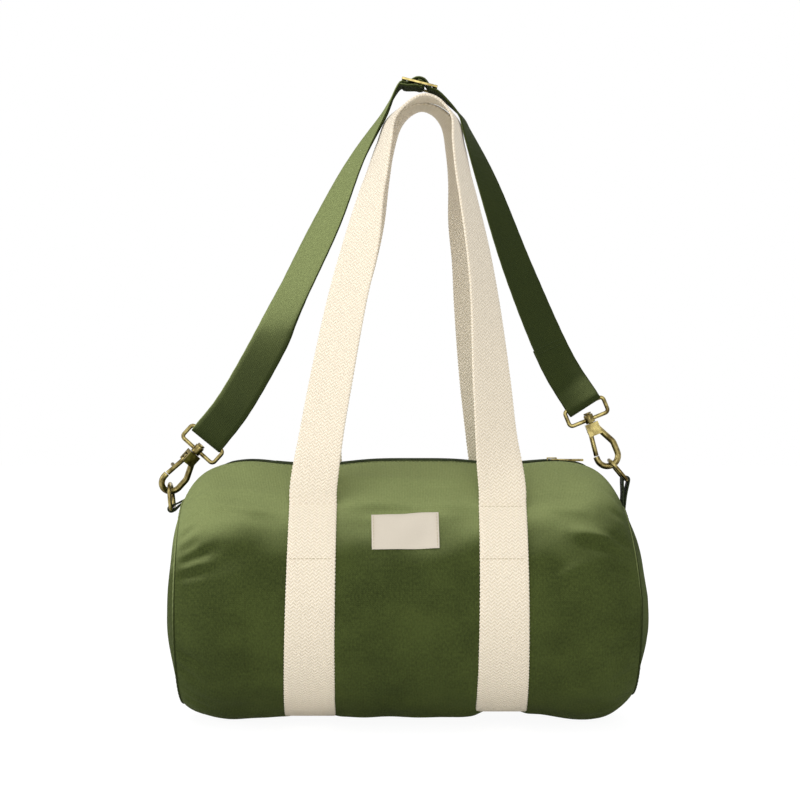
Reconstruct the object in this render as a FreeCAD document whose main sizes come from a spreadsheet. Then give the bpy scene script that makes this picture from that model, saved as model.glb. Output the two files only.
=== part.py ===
import FreeCAD, Part
import math
import os
import re

import Sketcher
from FreeCAD import Placement, Rotation, Vector

# Barrel bag of canvas: webbing handles, a zip along the top and a clip-on shoulder strap.
# Millimetres and degrees. X runs along the bag, the front looks to -Y, Z is up, the bag stands on Z = 0.

SIZES = {
    # canvas body
    "body_radius": 106, "seam_half": 189, "shoulder_radius": 74, "shoulder_run": 61,
    "barrel_half": "=seam_half - shoulder_run", "end_bulge": 10.5,
    "canvas": 2, "base_flat": 2.5, "fabric_gap": 0.2, "moving_gap": 0.3, "overrun": 5,
    "binding_depth": 6, "binding_thickness": 1.5,
    # mouth and zip
    "mouth_angle": 40, "zip_gap_angle": 6.4, "mouth_inset": 79, "lip_half": "=seam_half - mouth_inset",
    "tape_thickness": 0.7, "tape_angle": 9.5, "row_gap": 1.2,
    "tooth_depth": 1.2, "tooth_width": 1.3, "tooth_pitch": 3.2, "tooth_height": 1.4, "bead_width": 1.2,
    # zip slider and pull
    "slider_run": 10, "slider_park": "=lip_half + slider_run",
    "slider_length": 14, "slider_width": 11, "slider_plate": 1.3, "flange": 0.9,
    "post_length": 2.6, "post_width": 1.2, "bridge_span": 8.4, "bridge_width": 2, "bridge_bar": 1,
    "pull_wire": 0.9, "pull_width": 8.4, "pull_arm": 1, "pull_start": 5.4, "pull_length": 26,
    # webbing, handles and label
    "web_width": 40, "web_thickness": 2.2, "web_spread": 75, "stitch_angle": 45, "stitch_gap_angle": 1.2,
    "handle_top": 517.5, "handle_gap": 1,
    "label_length": 52, "label_offset": -2, "label_start_angle": 66.6, "label_wrap_angle": 17.2,
    "label_thickness": 0.6,
    # ring tabs and D-rings
    "tab_width": 20, "tab_fabric": 1.4, "tab_rise": 1.7, "tab_out": 1,
    "left_bar_out": 6.5, "left_bar_rise": -5.3, "left_lean": -5.7,
    "right_bar_out": -8, "right_bar_rise": 19, "right_lean": -40,
    "ring_wire": 1.6, "ring_half": 12.6, "ring_reach": 20.5, "ring_corner": 2.4,
    # swivel hooks
    "left_tilt": 42, "right_tilt": -22.3, "left_swivel": 34, "right_swivel": 0,
    "left_slack": 2.2, "right_slack": 0.5,
    "hook_bar": 2.6, "bow_radius": 8.9, "bow_middle": 2.25, "bow_depth": 42.4, "tip_depth": 31,
    "block_top": 3.5, "block_height": 10.5, "block_width": 11, "block_thickness": 8, "cheek": 1.8,
    "spine_start": 3.5, "spine_bend": 7,
    "eye_wire": 1.7, "eye_half": 17.2, "eye_height": 13.6, "eye_corner": 3,
    "boss_radius": 4, "boss_above": 4, "boss_below": 3,
    "rivet_radius": 1.7, "rivet_head": 3.2, "head_height": 1.5,
    "pin_radius": 1, "pin_across": -3.4, "pin_depth": 9.6,
    "gate_bar": 2, "gate_root": 2.6, "gate_side": 0.4, "gate_room": 0.9,
    "stud_radius": 1.6, "stud_length": 6, "stud_share": 0.62, "spring_wall": 0.9, "spring_length": 1.2,
    # shoulder strap and adjuster
    "strap_width": 30, "strap_thickness": 1.8, "crest_across": 10, "crest_height": 526, "crest_lean": 14,
    "adjuster_bar": 4, "adjuster_thickness": 2, "adjuster_spacing": 13, "adjuster_margin": 4,
}

# Handle loops: across as a share of the webbing's spread, rise and quarter twist as shares.
HANDLE_SHARES = {
    "front": (
        (-1.0, 0.0, 0.0), (-0.93, 0.15, 0.2), (-0.815, 0.3, 0.26), (-0.65, 0.49, 0.35),
        (-0.51, 0.62, 0.42), (-0.4, 0.743, 0.62), (-0.335, 0.8, 0.7), (-0.262, 0.87, 0.8),
        (-0.175, 0.935, 0.88), (0.03, 0.975, 0.96), (0.194, 0.985, 1.0), (0.35, 0.975, 0.97),
        (0.515, 0.935, 0.9), (0.56, 0.87, 0.83), (0.605, 0.8, 0.78), (0.655, 0.743, 0.74),
        (0.755, 0.62, 0.66), (0.83, 0.49, 0.57), (0.895, 0.3, 0.39), (0.945, 0.15, 0.27), (1.0, 0.0, 0.0),
    ),
    "back": (
        (-1.0, 0.0, 0.0), (-1.0, 0.15, 0.2), (-0.88, 0.3, 0.28), (-0.7, 0.49, 0.4), (-0.53, 0.61, 0.5),
        (-0.416, 0.7, 0.6), (-0.32, 0.81, 0.72), (-0.255, 0.878, 0.78), (-0.13, 0.943, 0.88),
        (0.01, 0.972, 0.95), (0.163, 0.982, 1.0), (0.32, 0.972, 0.96), (0.45, 0.943, 0.88),
        (0.54, 0.878, 0.78), (0.585, 0.81, 0.72), (0.625, 0.7, 0.6), (0.69, 0.6, 0.52),
        (0.735, 0.49, 0.44), (0.825, 0.3, 0.33), (0.92, 0.15, 0.22), (1.0, 0.0, 0.0),
    ),
}
# Strap legs from hook eye to crest: across and rise as shares of the leg, and the quarter twist left.
LEFT_LEG_SHARES = (
    (0.885, 0.088, 0.97), (0.7, 0.282, 0.82), (0.43, 0.609, 0.52), (0.295, 0.787, 0.3), (0.165, 0.918, 0.1),
)
RIGHT_LEG_SHARES = ((0.25, 0.899, 0.1), (0.4, 0.707, 0.4), (0.605, 0.415, 0.66), (0.848, 0.126, 0.86))
SPAN_STEPS = 3
TURN_STEPS = 6
TAIL_STATIONS = 4

doc = FreeCAD.newDocument("barrel_bag")
sheet = doc.addObject("Spreadsheet::Sheet", "bag")
for row, (alias, value) in enumerate(SIZES.items(), 1):
    sheet.set(f"A{row}", alias)
    sheet.set(f"B{row}", str(value))
    sheet.setAlias(f"B{row}", alias)
doc.recompute()

pieces = {}
X, Y, Z = Vector(1, 0, 0), Vector(0, 1, 0), Vector(0, 0, 1)
QUARTER = 90
ALONG_Y = Rotation(X, -QUARTER)


def size(alias):
    return float(sheet.get(alias))


def linked(text):
    """Turn plain size names into references to the sheet's cells."""
    return re.sub(r"[a-z_]+", lambda word: "bag." + word[0] if word[0] in SIZES else word[0], text)


def solid(kind, name, base=(0, 0, 0), turn=Rotation(), **sizes):
    """A primitive whose sizes follow the sheet, set at a place."""
    item = doc.addObject("Part::" + kind, name)
    for prop, text in sizes.items():
        item.setExpression(prop, linked(text))
    item.Placement = Placement(Vector(*base), turn)
    return item


def cut(name, base, *tools):
    for count, tool in enumerate(tools, 1):
        result = doc.addObject("Part::Cut", name if count == len(tools) else f"{name}_step{count}")
        result.Base, result.Tool = base, tool
        base = result
    return base


def joined(kind, name, *items):
    result = doc.addObject("Part::" + kind, name)
    result.Shapes = list(items)
    return result


def keep(label, item):
    item.Label = label
    pieces[label] = item
    return item


def feature(label, shape, place=Placement()):
    """A sub-part whose shape comes from Part's own functions."""
    item = doc.addObject("Part::Feature", label)
    item.Shape = shape
    item.Placement = place
    return keep(label, item)


# Heights and radii that several pieces share
axis_z = size("web_thickness") + size("fabric_gap") + size("body_radius") - size("base_flat")
base_z = axis_z - size("body_radius") + size("base_flat")
top_z = axis_z + size("body_radius")
tape_top = top_z - size("canvas")
web_inner = size("body_radius") + size("fabric_gap")
web_middle = web_inner + size("web_thickness") / 2
seam_drop = size("seam_half") - size("barrel_half")
seam_radius = (size("body_radius") - size("shoulder_radius")
               + math.sqrt(size("shoulder_radius") ** 2 - seam_drop ** 2))
channel = size("body_radius") * math.sin(math.radians(size("zip_gap_angle")))


# Canvas body
def barrel(name, radius, shoulder, half):
    """A round barrel on the bag's axis: a straight middle and a tangent shoulder arc at each end."""
    body = doc.addObject("PartDesign::Body", name)
    sketch = body.newObject("Sketcher::SketchObject", name + "_profile")
    plane = next(item for item in body.Origin.OriginFeatures if item.Role == "XZ_Plane")
    sketch.AttachmentSupport = [(plane, "")]
    sketch.MapMode = "FlatFace"
    straight, long = size("barrel_half"), size("seam_half")
    high, bend = size("body_radius"), size("shoulder_radius")
    edge = math.acos((long - straight) / bend)
    rim = high - bend + bend * math.sin(edge)
    right = Part.Circle(Vector(straight, high - bend), Z, bend)
    left = Part.Circle(Vector(-straight, high - bend), Z, bend)
    corners = [Vector(-long, 0), Vector(long, 0), Vector(long, rim), Vector(straight, high),
               Vector(-straight, high), Vector(-long, rim)]
    sketch.addGeometry([
        Part.LineSegment(corners[0], corners[1]),
        Part.LineSegment(corners[1], corners[2]),
        Part.ArcOfCircle(right, edge, math.pi / 2),
        Part.LineSegment(corners[3], corners[4]),
        Part.ArcOfCircle(left, math.pi / 2, math.pi - edge),
        Part.LineSegment(corners[5], corners[0]),
    ])
    Rule = Sketcher.Constraint
    sketch.addConstraint([
        Rule("Coincident", 0, 2, 1, 1), Rule("Coincident", 1, 2, 2, 1), Rule("Coincident", 4, 2, 5, 1),
        Rule("Coincident", 5, 2, 0, 1), Rule("Tangent", 2, 2, 3, 1), Rule("Tangent", 3, 2, 4, 1),
        Rule("Vertical", 1), Rule("Vertical", 5), Rule("PointOnObject", 0, 1, -1),
        Rule("Symmetric", 0, 1, 0, 2, -2), Rule("Symmetric", 3, 1, 3, 2, -2),
        Rule("Equal", 2, 4),
    ])
    limits = (
        (Rule("DistanceX", -1, 1, 0, 2, long), half),
        (Rule("DistanceX", -1, 1, 3, 1, straight), "barrel_half"),
        (Rule("DistanceY", -1, 1, 3, 1, high), radius),
        (Rule("Radius", 2, bend), shoulder),
    )
    for rule, text in limits:
        sketch.setExpression(f"Constraints[{sketch.addConstraint(rule)}]", linked(text))
    turn = body.newObject("PartDesign::Revolution", name + "_turn")
    turn.Profile = sketch
    turn.ReferenceAxis = (sketch, ["H_Axis"])
    body.Tip = turn
    body.Placement = Placement(Vector(0, 0, axis_z), Rotation())
    return body


def floor_block(name, height):
    """Everything below a level, to cut a flat base."""
    corner = (-size("seam_half") * 2, -size("body_radius") * 2, height - size("body_radius"))
    return solid("Box", name, corner,
                 Length="4 * seam_half", Width="4 * body_radius", Height="body_radius")


def sector(name, radius, half, start, sweep, middle=0):
    """A slice of a round on the bag's axis, from an angle counted from the top towards the back."""
    turn = Rotation(-X, start) * Rotation(Y, -QUARTER)
    reach = middle + float(doc.bag.evalExpression(linked(half)))
    return solid("Cylinder", name, (reach, 0, axis_z), turn,
                 Radius=radius, Height=f"2 * ({half})", Angle=sweep)


def band(label, outer, inner, half, start, sweep, middle=0):
    """A curved strip of cloth on the bag's round."""
    slice_outer = sector(label + "_outer", outer, half, start, sweep, middle)
    slice_inner = sector(label + "_inner", inner, f"{half} + overrun", 0, "360", middle)
    return keep(label, cut(label, slice_outer, slice_inner))


skin_round = barrel("skin_round", "body_radius", "shoulder_radius", "seam_half")
skin = cut("skin", skin_round, floor_block("skin_floor", base_z))
lining_round = barrel("lining_round", "body_radius - canvas", "shoulder_radius - canvas",
                      "seam_half + fabric_gap")
lining = cut("lining", lining_round, floor_block("lining_floor", base_z + size("canvas")))
shell = cut("shell", skin, lining)

window = sector("mouth_window", "body_radius + overrun", "lip_half + moving_gap",
                -size("mouth_angle"), "2 * mouth_angle")
slot = solid("Box", "zip_slot", (-size("seam_half") * 2, -channel, axis_z),
             Length="4 * seam_half", Width="2 * body_radius * sin(zip_gap_angle)", Height="2 * body_radius")
keep("main_panel", cut("main_panel", shell, window, slot))

dome_rise = size("end_bulge")
dome_radius = (seam_radius ** 2 + dome_rise ** 2) / (2 * dome_rise)
for side, sign in (("left", -1), ("right", 1)):
    rim_x = size("seam_half") + size("fabric_gap")
    turn = Rotation(Y, QUARTER * sign)
    reach = rim_x + dome_rise - dome_radius
    outside = solid("Sphere", f"dome_{side}", (sign * reach, 0, axis_z))
    inside = solid("Sphere", f"dome_inside_{side}", (sign * reach, 0, axis_z))
    outside.Radius, inside.Radius = dome_radius, dome_radius - size("canvas")
    cap = solid("Cylinder", f"cap_{side}", (sign * rim_x, 0, axis_z), turn,
                Radius="body_radius", Height="body_radius")
    dome_cap = joined("MultiCommon", f"dome_cap_{side}", outside, cap)
    keep(f"end_panel_{side}", cut(f"end_panel_{side}", dome_cap, inside))

    lining_rim = (size("body_radius") - size("shoulder_radius")
                  + math.sqrt((size("shoulder_radius") - size("canvas")) ** 2 - seam_drop ** 2))
    ring_start = (sign * (size("seam_half") - size("binding_depth")), 0, axis_z)
    tube = solid("Cylinder", f"binding_outer_{side}", ring_start, turn, Height="binding_depth")
    bore = solid("Cylinder", f"binding_inner_{side}", ring_start, turn, Height="binding_depth")
    tube.Radius = lining_rim - size("moving_gap")
    bore.Radius = lining_rim - size("moving_gap") - size("binding_thickness")
    keep(f"seam_binding_{side}", cut(f"seam_binding_{side}", tube, bore))

# Lips of the mouth and the zip between them
fold_gap = math.degrees(size("moving_gap") / size("body_radius"))
for side, sign in (("front", -1), ("back", 1)):
    start = size("zip_gap_angle") if sign > 0 else fold_gap - size("mouth_angle")
    band(f"lip_{side}", "body_radius", "body_radius - canvas", "lip_half", start,
         "mouth_angle - zip_gap_angle - 180 / pi * moving_gap / body_radius")
    tape_edge = math.degrees(size("row_gap") / size("body_radius"))
    start = tape_edge if sign > 0 else -size("tape_angle")
    band(f"zip_tape_{side}", "body_radius - canvas - fabric_gap",
         "body_radius - canvas - fabric_gap - tape_thickness", "lip_half", start,
         "tape_angle - 180 / pi * row_gap / body_radius")


def comb():
    """One row of zip teeth: a bead along the tape with teeth that point to the middle."""
    bead_in = size("row_gap") + size("tooth_depth")
    bead_out = bead_in + size("bead_width")
    count = int(2 * size("lip_half") / size("tooth_pitch"))
    first = -(count - 1) * size("tooth_pitch") / 2
    outline = [Vector(-size("lip_half"), bead_out), Vector(-size("lip_half"), bead_in)]
    for number in range(count):
        middle = first + number * size("tooth_pitch")
        near, far = middle - size("tooth_width") / 2, middle + size("tooth_width") / 2
        outline += [Vector(near, bead_in), Vector(near, size("row_gap")),
                    Vector(far, size("row_gap")), Vector(far, bead_in)]
    outline += [Vector(size("lip_half"), bead_in), Vector(size("lip_half"), bead_out)]
    return Part.Face(Part.makePolygon(outline + outline[:1])).extrude(Z * size("tooth_height"))


teeth = comb()
feature("zip_teeth_back", teeth, Placement(Z * tape_top, Rotation()))
feature("zip_teeth_front", teeth, Placement(Z * tape_top, Rotation(Z, 180)))

edge_y = size("slider_width") / 2
park_end = size("slider_park") + size("slider_length") / 2 + size("moving_gap")
for side, sign in (("left", -1), ("right", 1)):
    start = size("lip_half") + size("moving_gap")
    corner = start if sign > 0 else -size("seam_half")
    strip_box = solid("Box", f"zip_end_box_{side}", (corner, -channel + size("fabric_gap"), axis_z),
                      Length="seam_half - lip_half - moving_gap",
                      Width="2 * body_radius * sin(zip_gap_angle) - 2 * fabric_gap", Height="2 * body_radius")
    notch_corner = (start if sign > 0 else -park_end, -edge_y - size("moving_gap"), axis_z)
    notch = solid("Box", f"zip_end_notch_{side}", notch_corner, Length="slider_run + slider_length / 2",
                  Width="slider_width + 2 * moving_gap", Height="2 * body_radius")
    end_band = joined("MultiCommon", f"zip_end_band_{side}", shell, strip_box)
    keep(f"zip_end_{side}", cut(f"zip_end_{side}", end_band, notch))

# Zip slider: two plates round the rows, joined by a post, with a bridge that holds the pull
lower_top = tape_top - size("fabric_gap") - size("tape_thickness") - size("moving_gap")
lower_base = lower_top - size("slider_plate")
upper_base = top_z + size("moving_gap")
upper_top = upper_base + size("slider_plate")
pull_z = upper_top + size("moving_gap") + size("pull_wire")
bridge_top = pull_z + size("pull_wire") + size("moving_gap") + size("bridge_bar")
back_x = size("slider_park") - size("slider_length") / 2
front_x = size("slider_park") + size("slider_length") / 2
flange_drop = upper_base - tape_top - size("moving_gap")


def slider_bar(name, x, y, z, length, width, height):
    bar = solid("Box", "slider_" + name, (x, y, z), Length=length, Width=width)
    bar.Height = height
    return bar


bridge_legs = [size("slider_park") - size("bridge_span") / 2,
               size("slider_park") + size("bridge_span") / 2 - size("bridge_bar")]
keep("zip_slider", joined(
    "MultiFuse", "zip_slider",
    slider_bar("upper", back_x, -edge_y, upper_base, "slider_length", "slider_width", size("slider_plate")),
    slider_bar("lower", back_x, -edge_y, lower_base, "slider_length", "slider_width", size("slider_plate")),
    slider_bar("post", front_x - size("post_length"), -size("post_width") / 2, lower_base,
               "post_length", "post_width", upper_top - lower_base),
    slider_bar("flange_front", back_x, -edge_y, upper_base - flange_drop,
               "slider_length", "flange", flange_drop),
    slider_bar("flange_back", back_x, edge_y - size("flange"), upper_base - flange_drop,
               "slider_length", "flange", flange_drop),
    slider_bar("bridge", bridge_legs[0], -size("bridge_width") / 2, bridge_top - size("bridge_bar"),
               "bridge_span", "bridge_width", size("bridge_bar")),
    *[slider_bar(f"bridge_leg_{number}", x, -size("bridge_width") / 2, upper_base,
                 "bridge_bar", "bridge_width", bridge_top - upper_base)
      for number, x in enumerate(bridge_legs)],
))

pull_y = size("pull_width") / 2
pull_base = pull_z - size("pull_wire")
keep("zip_pull", joined(
    "MultiFuse", "zip_pull",
    solid("Cylinder", "pull_axle", (size("slider_park"), -pull_y, pull_z), ALONG_Y,
          Radius="pull_wire", Height="pull_width"),
    solid("Box", "pull_arm_front", (size("slider_park"), -pull_y, pull_base),
          Length="pull_start + pull_wire", Width="pull_arm", Height="2 * pull_wire"),
    solid("Box", "pull_arm_back", (size("slider_park"), pull_y - size("pull_arm"), pull_base),
          Length="pull_start + pull_wire", Width="pull_arm", Height="2 * pull_wire"),
    solid("Box", "pull_plate", (size("slider_park") + size("pull_start"), -pull_y, pull_base),
          Length="pull_length - pull_start", Width="pull_width", Height="2 * pull_wire"),
))

# Webbing under the bag and the label on its front
for side, sign in (("left", -1), ("right", 1)):
    start = size("stitch_angle") + size("stitch_gap_angle")
    outer = sector(f"web_outer_{side}", "body_radius + fabric_gap + web_thickness", "web_width / 2", start,
                   "360 - 2 * (stitch_angle + stitch_gap_angle)", sign * size("web_spread"))
    inner = sector(f"web_inner_{side}", "body_radius + fabric_gap", "web_width / 2 + overrun", 0, "360",
                   sign * size("web_spread"))
    hollow = cut(f"web_hollow_{side}", inner, floor_block(f"web_floor_{side}", size("web_thickness")))
    keep(f"webbing_{side}", cut(f"webbing_{side}", outer, floor_block(f"web_ground_{side}", 0), hollow))

band("front_label", "body_radius + fabric_gap + label_thickness", "body_radius + fabric_gap",
     "label_length / 2", -size("label_start_angle"), "label_wrap_angle", size("label_offset"))


# Flat strips that bend and twist along a path
def unit(vector):
    return Vector(vector).normalize()


def strip(stations, width, thickness):
    """A ruled strip through stations, each a point and the direction of the strip's width."""
    points = [point for point, across in stations]
    sections = []
    for number, (point, across) in enumerate(stations):
        before = points[number] - points[number - 1] if number else points[1] - points[0]
        after = points[number + 1] - points[number] if number + 1 < len(points) else before
        along = unit(unit(before) + unit(after))
        side = unit(across - along * across.dot(along)) * (width / 2)
        face = along.cross(unit(side)) * (thickness / 2)
        corners = [point + side + face, point - side + face, point - side - face, point + side - face]
        sections.append(Part.makePolygon(corners + corners[:1]))
    return Part.makeLoft(sections, True, True)


def curve_samples(points, twists, first, last):
    """Points, directions and twists along a smooth curve through given points."""
    marks = [0.0]
    for near, far in zip(points, points[1:]):
        marks.append(marks[-1] + near.distanceToPoint(far))
    curve = Part.BSplineCurve()
    curve.interpolate(Points=points, Parameters=marks, InitialTangent=first, FinalTangent=last)
    samples = []
    for span in range(len(points) - 1):
        steps = range(SPAN_STEPS + (span == len(points) - 2))
        for step in steps:
            part = step / SPAN_STEPS
            mark = marks[span] + part * (marks[span + 1] - marks[span])
            twist = twists[span] + part * (twists[span + 1] - twists[span])
            samples.append((curve.value(mark), unit(curve.tangent(mark)[0]), math.radians(QUARTER * twist)))
    return samples


# Handles
stitch = math.radians(size("stitch_angle"))
foot_y = web_middle * math.sin(stitch)
foot_z = axis_z + web_middle * math.cos(stitch)
peak_y = (size("web_width") + size("handle_gap")) / 2
for side, sign in (("front", -1), ("back", 1)):
    shares = HANDLE_SHARES[side]
    route = [Vector(across * size("web_spread"), sign * (foot_y + (peak_y - foot_y) * rise),
                    foot_z + (size("handle_top") - foot_z) * rise) for across, rise, twist in shares]
    upward = unit(Vector(0, sign * (peak_y - foot_y), size("handle_top") - foot_z))
    loop = []
    for point, along, twist in curve_samples(route, [row[2] for row in shares], upward, -upward):
        near = unit(Y * sign - along * along.dot(Y * sign))
        inward = along.cross(near) * -sign
        loop.append((point, inward * math.cos(twist) + near * math.sin(twist)))
    hem = upward * size("web_thickness")
    loop[1:1] = [(loop[0][0] + hem, loop[0][1])]
    loop[-1:-1] = [(loop[-1][0] + hem, loop[-1][1])]
    feature(f"handle_{side}", strip(loop, size("web_width"), size("web_thickness")))


# Bent rods
def rod(corners, radius):
    """A round bar along straight runs joined by bends; each corner is a point and its bend radius."""
    edges = []
    last = corners[0][0]
    for before, (point, bend), after in zip(corners, corners[1:], corners[2:]):
        back, ahead = unit(before[0] - point), unit(after[0] - point)
        half = math.acos(max(-1.0, min(1.0, back.dot(ahead)))) / 2
        start, end = point + back * (bend / math.tan(half)), point + ahead * (bend / math.tan(half))
        inward = unit(back + ahead)
        middle = point + inward * (bend / math.sin(half) - bend)
        if last.distanceToPoint(start) > Part.Vertex(start).Tolerance:
            edges.append(Part.LineSegment(last, start).toShape())
        edges.append(Part.Arc(start, middle, end).toShape())
        last = end
    if last.distanceToPoint(corners[-1][0]) > Part.Vertex(last).Tolerance:
        edges.append(Part.LineSegment(last, corners[-1][0]).toShape())
    along = unit(corners[1][0] - corners[0][0])
    ring = Part.Wire(Part.makeCircle(radius, corners[0][0], along))
    return Part.Wire(edges).makePipeShell([ring], True, False)


# Rings, tabs and hooks hang together: tab bar, ring, hook, eye and strap end follow one another
def lean(angle):
    return Vector(math.sin(math.radians(angle)), 0, math.cos(math.radians(angle)))


def frame(origin, up, turn=0):
    """A placement whose Z runs along a direction in the bag's long plane, turned about it."""
    across = Y.cross(up)
    upright = Rotation(across, Y, up, "ZXY")
    return Placement(origin, Rotation(up, turn) * upright)


def d_ring():
    """A D: a straight bar at the tab and a round bow at the far end."""
    half, reach, corner = size("ring_half"), size("ring_reach"), size("ring_corner")
    return rod([(Vector(0, 0, 0), 0), (Vector(0, half, 0), corner), (Vector(0, half, reach), half),
                (Vector(0, -half, reach), half), (Vector(0, -half, 0), corner), (Vector(0, 0, 0), 0)],
               size("ring_wire"))


def hook_eye():
    """A rectangular loop for the strap, with a bored boss for the swivel on its lower bar."""
    half, high, corner = size("eye_half"), size("eye_height"), size("eye_corner")
    quarter = Vector(half / 2, 0, 0)
    loop = rod([(quarter, 0), (Vector(half, 0, 0), corner), (Vector(half, 0, high), corner),
                (Vector(-half, 0, high), corner), (Vector(-half, 0, 0), corner), (quarter, 0)],
               size("eye_wire"))
    below, tall = size("boss_below"), size("boss_below") + size("boss_above")
    boss = Part.makeCylinder(size("boss_radius"), tall, Z * -below)
    bore = Part.makeCylinder(size("rivet_radius") + size("moving_gap"), tall + size("overrun") * 2,
                             Z * -(below + size("overrun")))
    return loop.fuse(boss).cut(bore).removeSplitter()


def swivel_rivet():
    """The post of the hook through the eye's boss, with its peened head."""
    head_base = size("boss_above") + size("moving_gap")
    post = Part.makeCylinder(size("rivet_radius"), head_base + size("block_top"), Z * -size("block_top"))
    head = Part.makeCylinder(size("rivet_head"), size("head_height"), Z * head_base)
    return post.fuse(head).removeSplitter()


def hook_body():
    """A forked block under the eye that runs on into a spine and a round bow with an open side."""
    wide, thick, tall = size("block_width"), size("block_thickness"), size("block_height")
    top = -size("block_top")
    block = Part.makeBox(wide, thick, tall, Vector(-wide / 2, -thick / 2, top - tall))
    slit = thick - 2 * size("cheek")
    roof = -size("pin_depth") + size("gate_root") + size("moving_gap")
    wall = size("pin_across") + size("gate_root") + size("gate_room")
    fork = Part.makeBox(wide, slit, tall, Vector(wall - wide, -slit / 2, roof - tall))
    spine_x = size("bow_middle") + size("bow_radius")
    tip_x = size("bow_middle") - size("bow_radius")
    spine = rod([
        (Vector(size("spine_start"), 0, top - tall / 2), 0),
        (Vector(spine_x, 0, -(size("bow_depth") - size("bow_radius") * 2)), size("spine_bend")),
        (Vector(spine_x, 0, -size("bow_depth")), size("bow_radius")),
        (Vector(tip_x, 0, -size("bow_depth")), size("bow_radius")),
        (Vector(tip_x, 0, -size("tip_depth")), 0),
    ], size("hook_bar"))
    reach = thick + size("overrun")
    pin_hole = Part.makeCylinder(size("pin_radius"), reach,
                                 Vector(size("pin_across"), -reach / 2, -size("pin_depth")), Y)
    return block.fuse(spine).cut(fork).cut(pin_hole).removeSplitter()


def gate():
    """The spring gate: a root on the pin, a bar down to the bow's tip and a thumb stud."""
    pin = Vector(size("pin_across"), 0, -size("pin_depth"))
    tip = Vector(size("bow_middle") - size("bow_radius") + size("gate_side"), 0,
                 -size("tip_depth") + size("moving_gap") * 2)
    along = unit(tip - pin)
    slit = size("block_thickness") - 2 * size("cheek")
    root_start = -slit / 2 + size("moving_gap")
    root_length = slit - size("spring_length") - 3 * size("moving_gap")
    root = Part.makeCylinder(size("gate_root"), root_length, pin + Y * root_start, Y)
    start = pin + along * (size("gate_root") - size("moving_gap"))
    bar = Part.makeCylinder(size("gate_bar"), start.distanceToPoint(tip), start, along)
    stud_base = pin + (tip - pin) * size("stud_share")
    stud = Part.makeCylinder(size("stud_radius"), size("stud_length"), stud_base, Y)
    bore = Part.makeCylinder(size("pin_radius") + size("moving_gap") / 2, slit, pin - Y * slit / 2, Y)
    return root.fuse([bar, stud]).cut(bore).removeSplitter()


def gate_pin():
    thick = size("block_thickness")
    start = Vector(size("pin_across"), -thick / 2, -size("pin_depth"))
    return Part.makeCylinder(size("pin_radius"), thick, start, Y)


def gate_spring():
    """A torsion coil on the pin, drawn as the tube that its turns fill."""
    slit = size("block_thickness") - 2 * size("cheek")
    inner = size("pin_radius") + size("moving_gap") / 2
    start_y = slit / 2 - size("moving_gap") - size("spring_length")
    start = Vector(size("pin_across"), start_y, -size("pin_depth"))
    tube = Part.makeCylinder(inner + size("spring_wall"), size("spring_length"), start, Y)
    return tube.cut(Part.makeCylinder(inner, size("spring_length"), start, Y))


def tab_shape(bar, end):
    """A folded tab: a sleeve round the ring's bar and a doubled tail down to the seam."""
    inner = size("ring_wire") + size("moving_gap")
    outer, wide = inner + size("tab_fabric"), size("tab_width")
    start = bar - Y * (wide / 2)
    tail_length = bar.distanceToPoint(end)
    tail = Part.makeBox(2 * size("tab_fabric"), wide, tail_length, Vector(-size("tab_fabric"), -wide / 2, 0))
    tail.Placement = frame(bar, unit(end - bar))
    sleeve = Part.makeCylinder(outer, wide, start, Y)
    return sleeve.fuse(tail).cut(Part.makeCylinder(inner, wide, start, Y)).removeSplitter()


seam_top = axis_z + seam_radius
eyes = {}
for side, sign in (("left", -1), ("right", 1)):
    bar = Vector(sign * (size("seam_half") + size(f"{side}_bar_out")), 0, seam_top + size(f"{side}_bar_rise"))
    tail_end = Vector(sign * (size("seam_half") + size("tab_out")), 0, seam_top + size("tab_rise"))
    feature(f"ring_tab_{side}", tab_shape(bar, tail_end))
    ring_up, hook_up = lean(size(f"{side}_lean")), lean(size(f"{side}_tilt"))
    feature(f"d_ring_{side}", d_ring(), frame(bar, ring_up))
    swivel = frame(Vector(), hook_up, size(f"{side}_swivel"))
    wire_depth = size("bow_depth") - size("hook_bar") - size("ring_wire") - size(f"{side}_slack")
    seat = swivel.multVec(Vector(size("bow_middle"), 0, -wire_depth))
    boss = bar + ring_up * size("ring_reach") - seat
    hook_place = Placement(boss, swivel.Rotation)
    eye_place = frame(boss, hook_up)
    feature(f"hook_eye_{side}", hook_eye(), eye_place)
    for name, shape in (("hook_body", hook_body()), ("swivel_rivet", swivel_rivet()), ("gate", gate()),
                        ("gate_pin", gate_pin()), ("gate_spring", gate_spring())):
        feature(f"{name}_{side}", shape, hook_place)
    eyes[side] = (boss + hook_up * size("eye_height"), hook_up)

# Shoulder strap: one strip from the adjuster round the left eye, over the crest and round the right eye
crest = Vector(size("crest_across"), 0, size("crest_height"))
layer = (size("strap_thickness") + size("fabric_gap")) / 2
turn_radius = size("eye_wire") + size("moving_gap") + size("strap_thickness") / 2


def leg_points(side, shares):
    eye = eyes[side][0]
    return [Vector(crest.x + (eye.x - crest.x) * across, eye.y * across, eye.z + (crest.z - eye.z) * rise)
            for across, rise, twist in shares]


route = ([eyes["left"][0]] + leg_points("left", LEFT_LEG_SHARES) + [crest]
         + leg_points("right", RIGHT_LEG_SHARES) + [eyes["right"][0]])
twists = [1.0] + [row[2] for row in LEFT_LEG_SHARES] + [0.0] + [row[2] for row in RIGHT_LEG_SHARES] + [1.0]
arch = []
for point, along, twist in curve_samples(route, twists, eyes["left"][1], -eyes["right"][1]):
    outward = unit((-Y).cross(along))
    facing = outward * math.cos(twist) + along.cross(outward) * math.sin(twist)
    arch.append((point, along, facing, facing.cross(along)))


def lifted(samples, offset):
    """Stations of one layer of the strap, set off from the arch along its outer face."""
    return [(point + facing * offset, across) for point, along, facing, across in samples]


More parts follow.
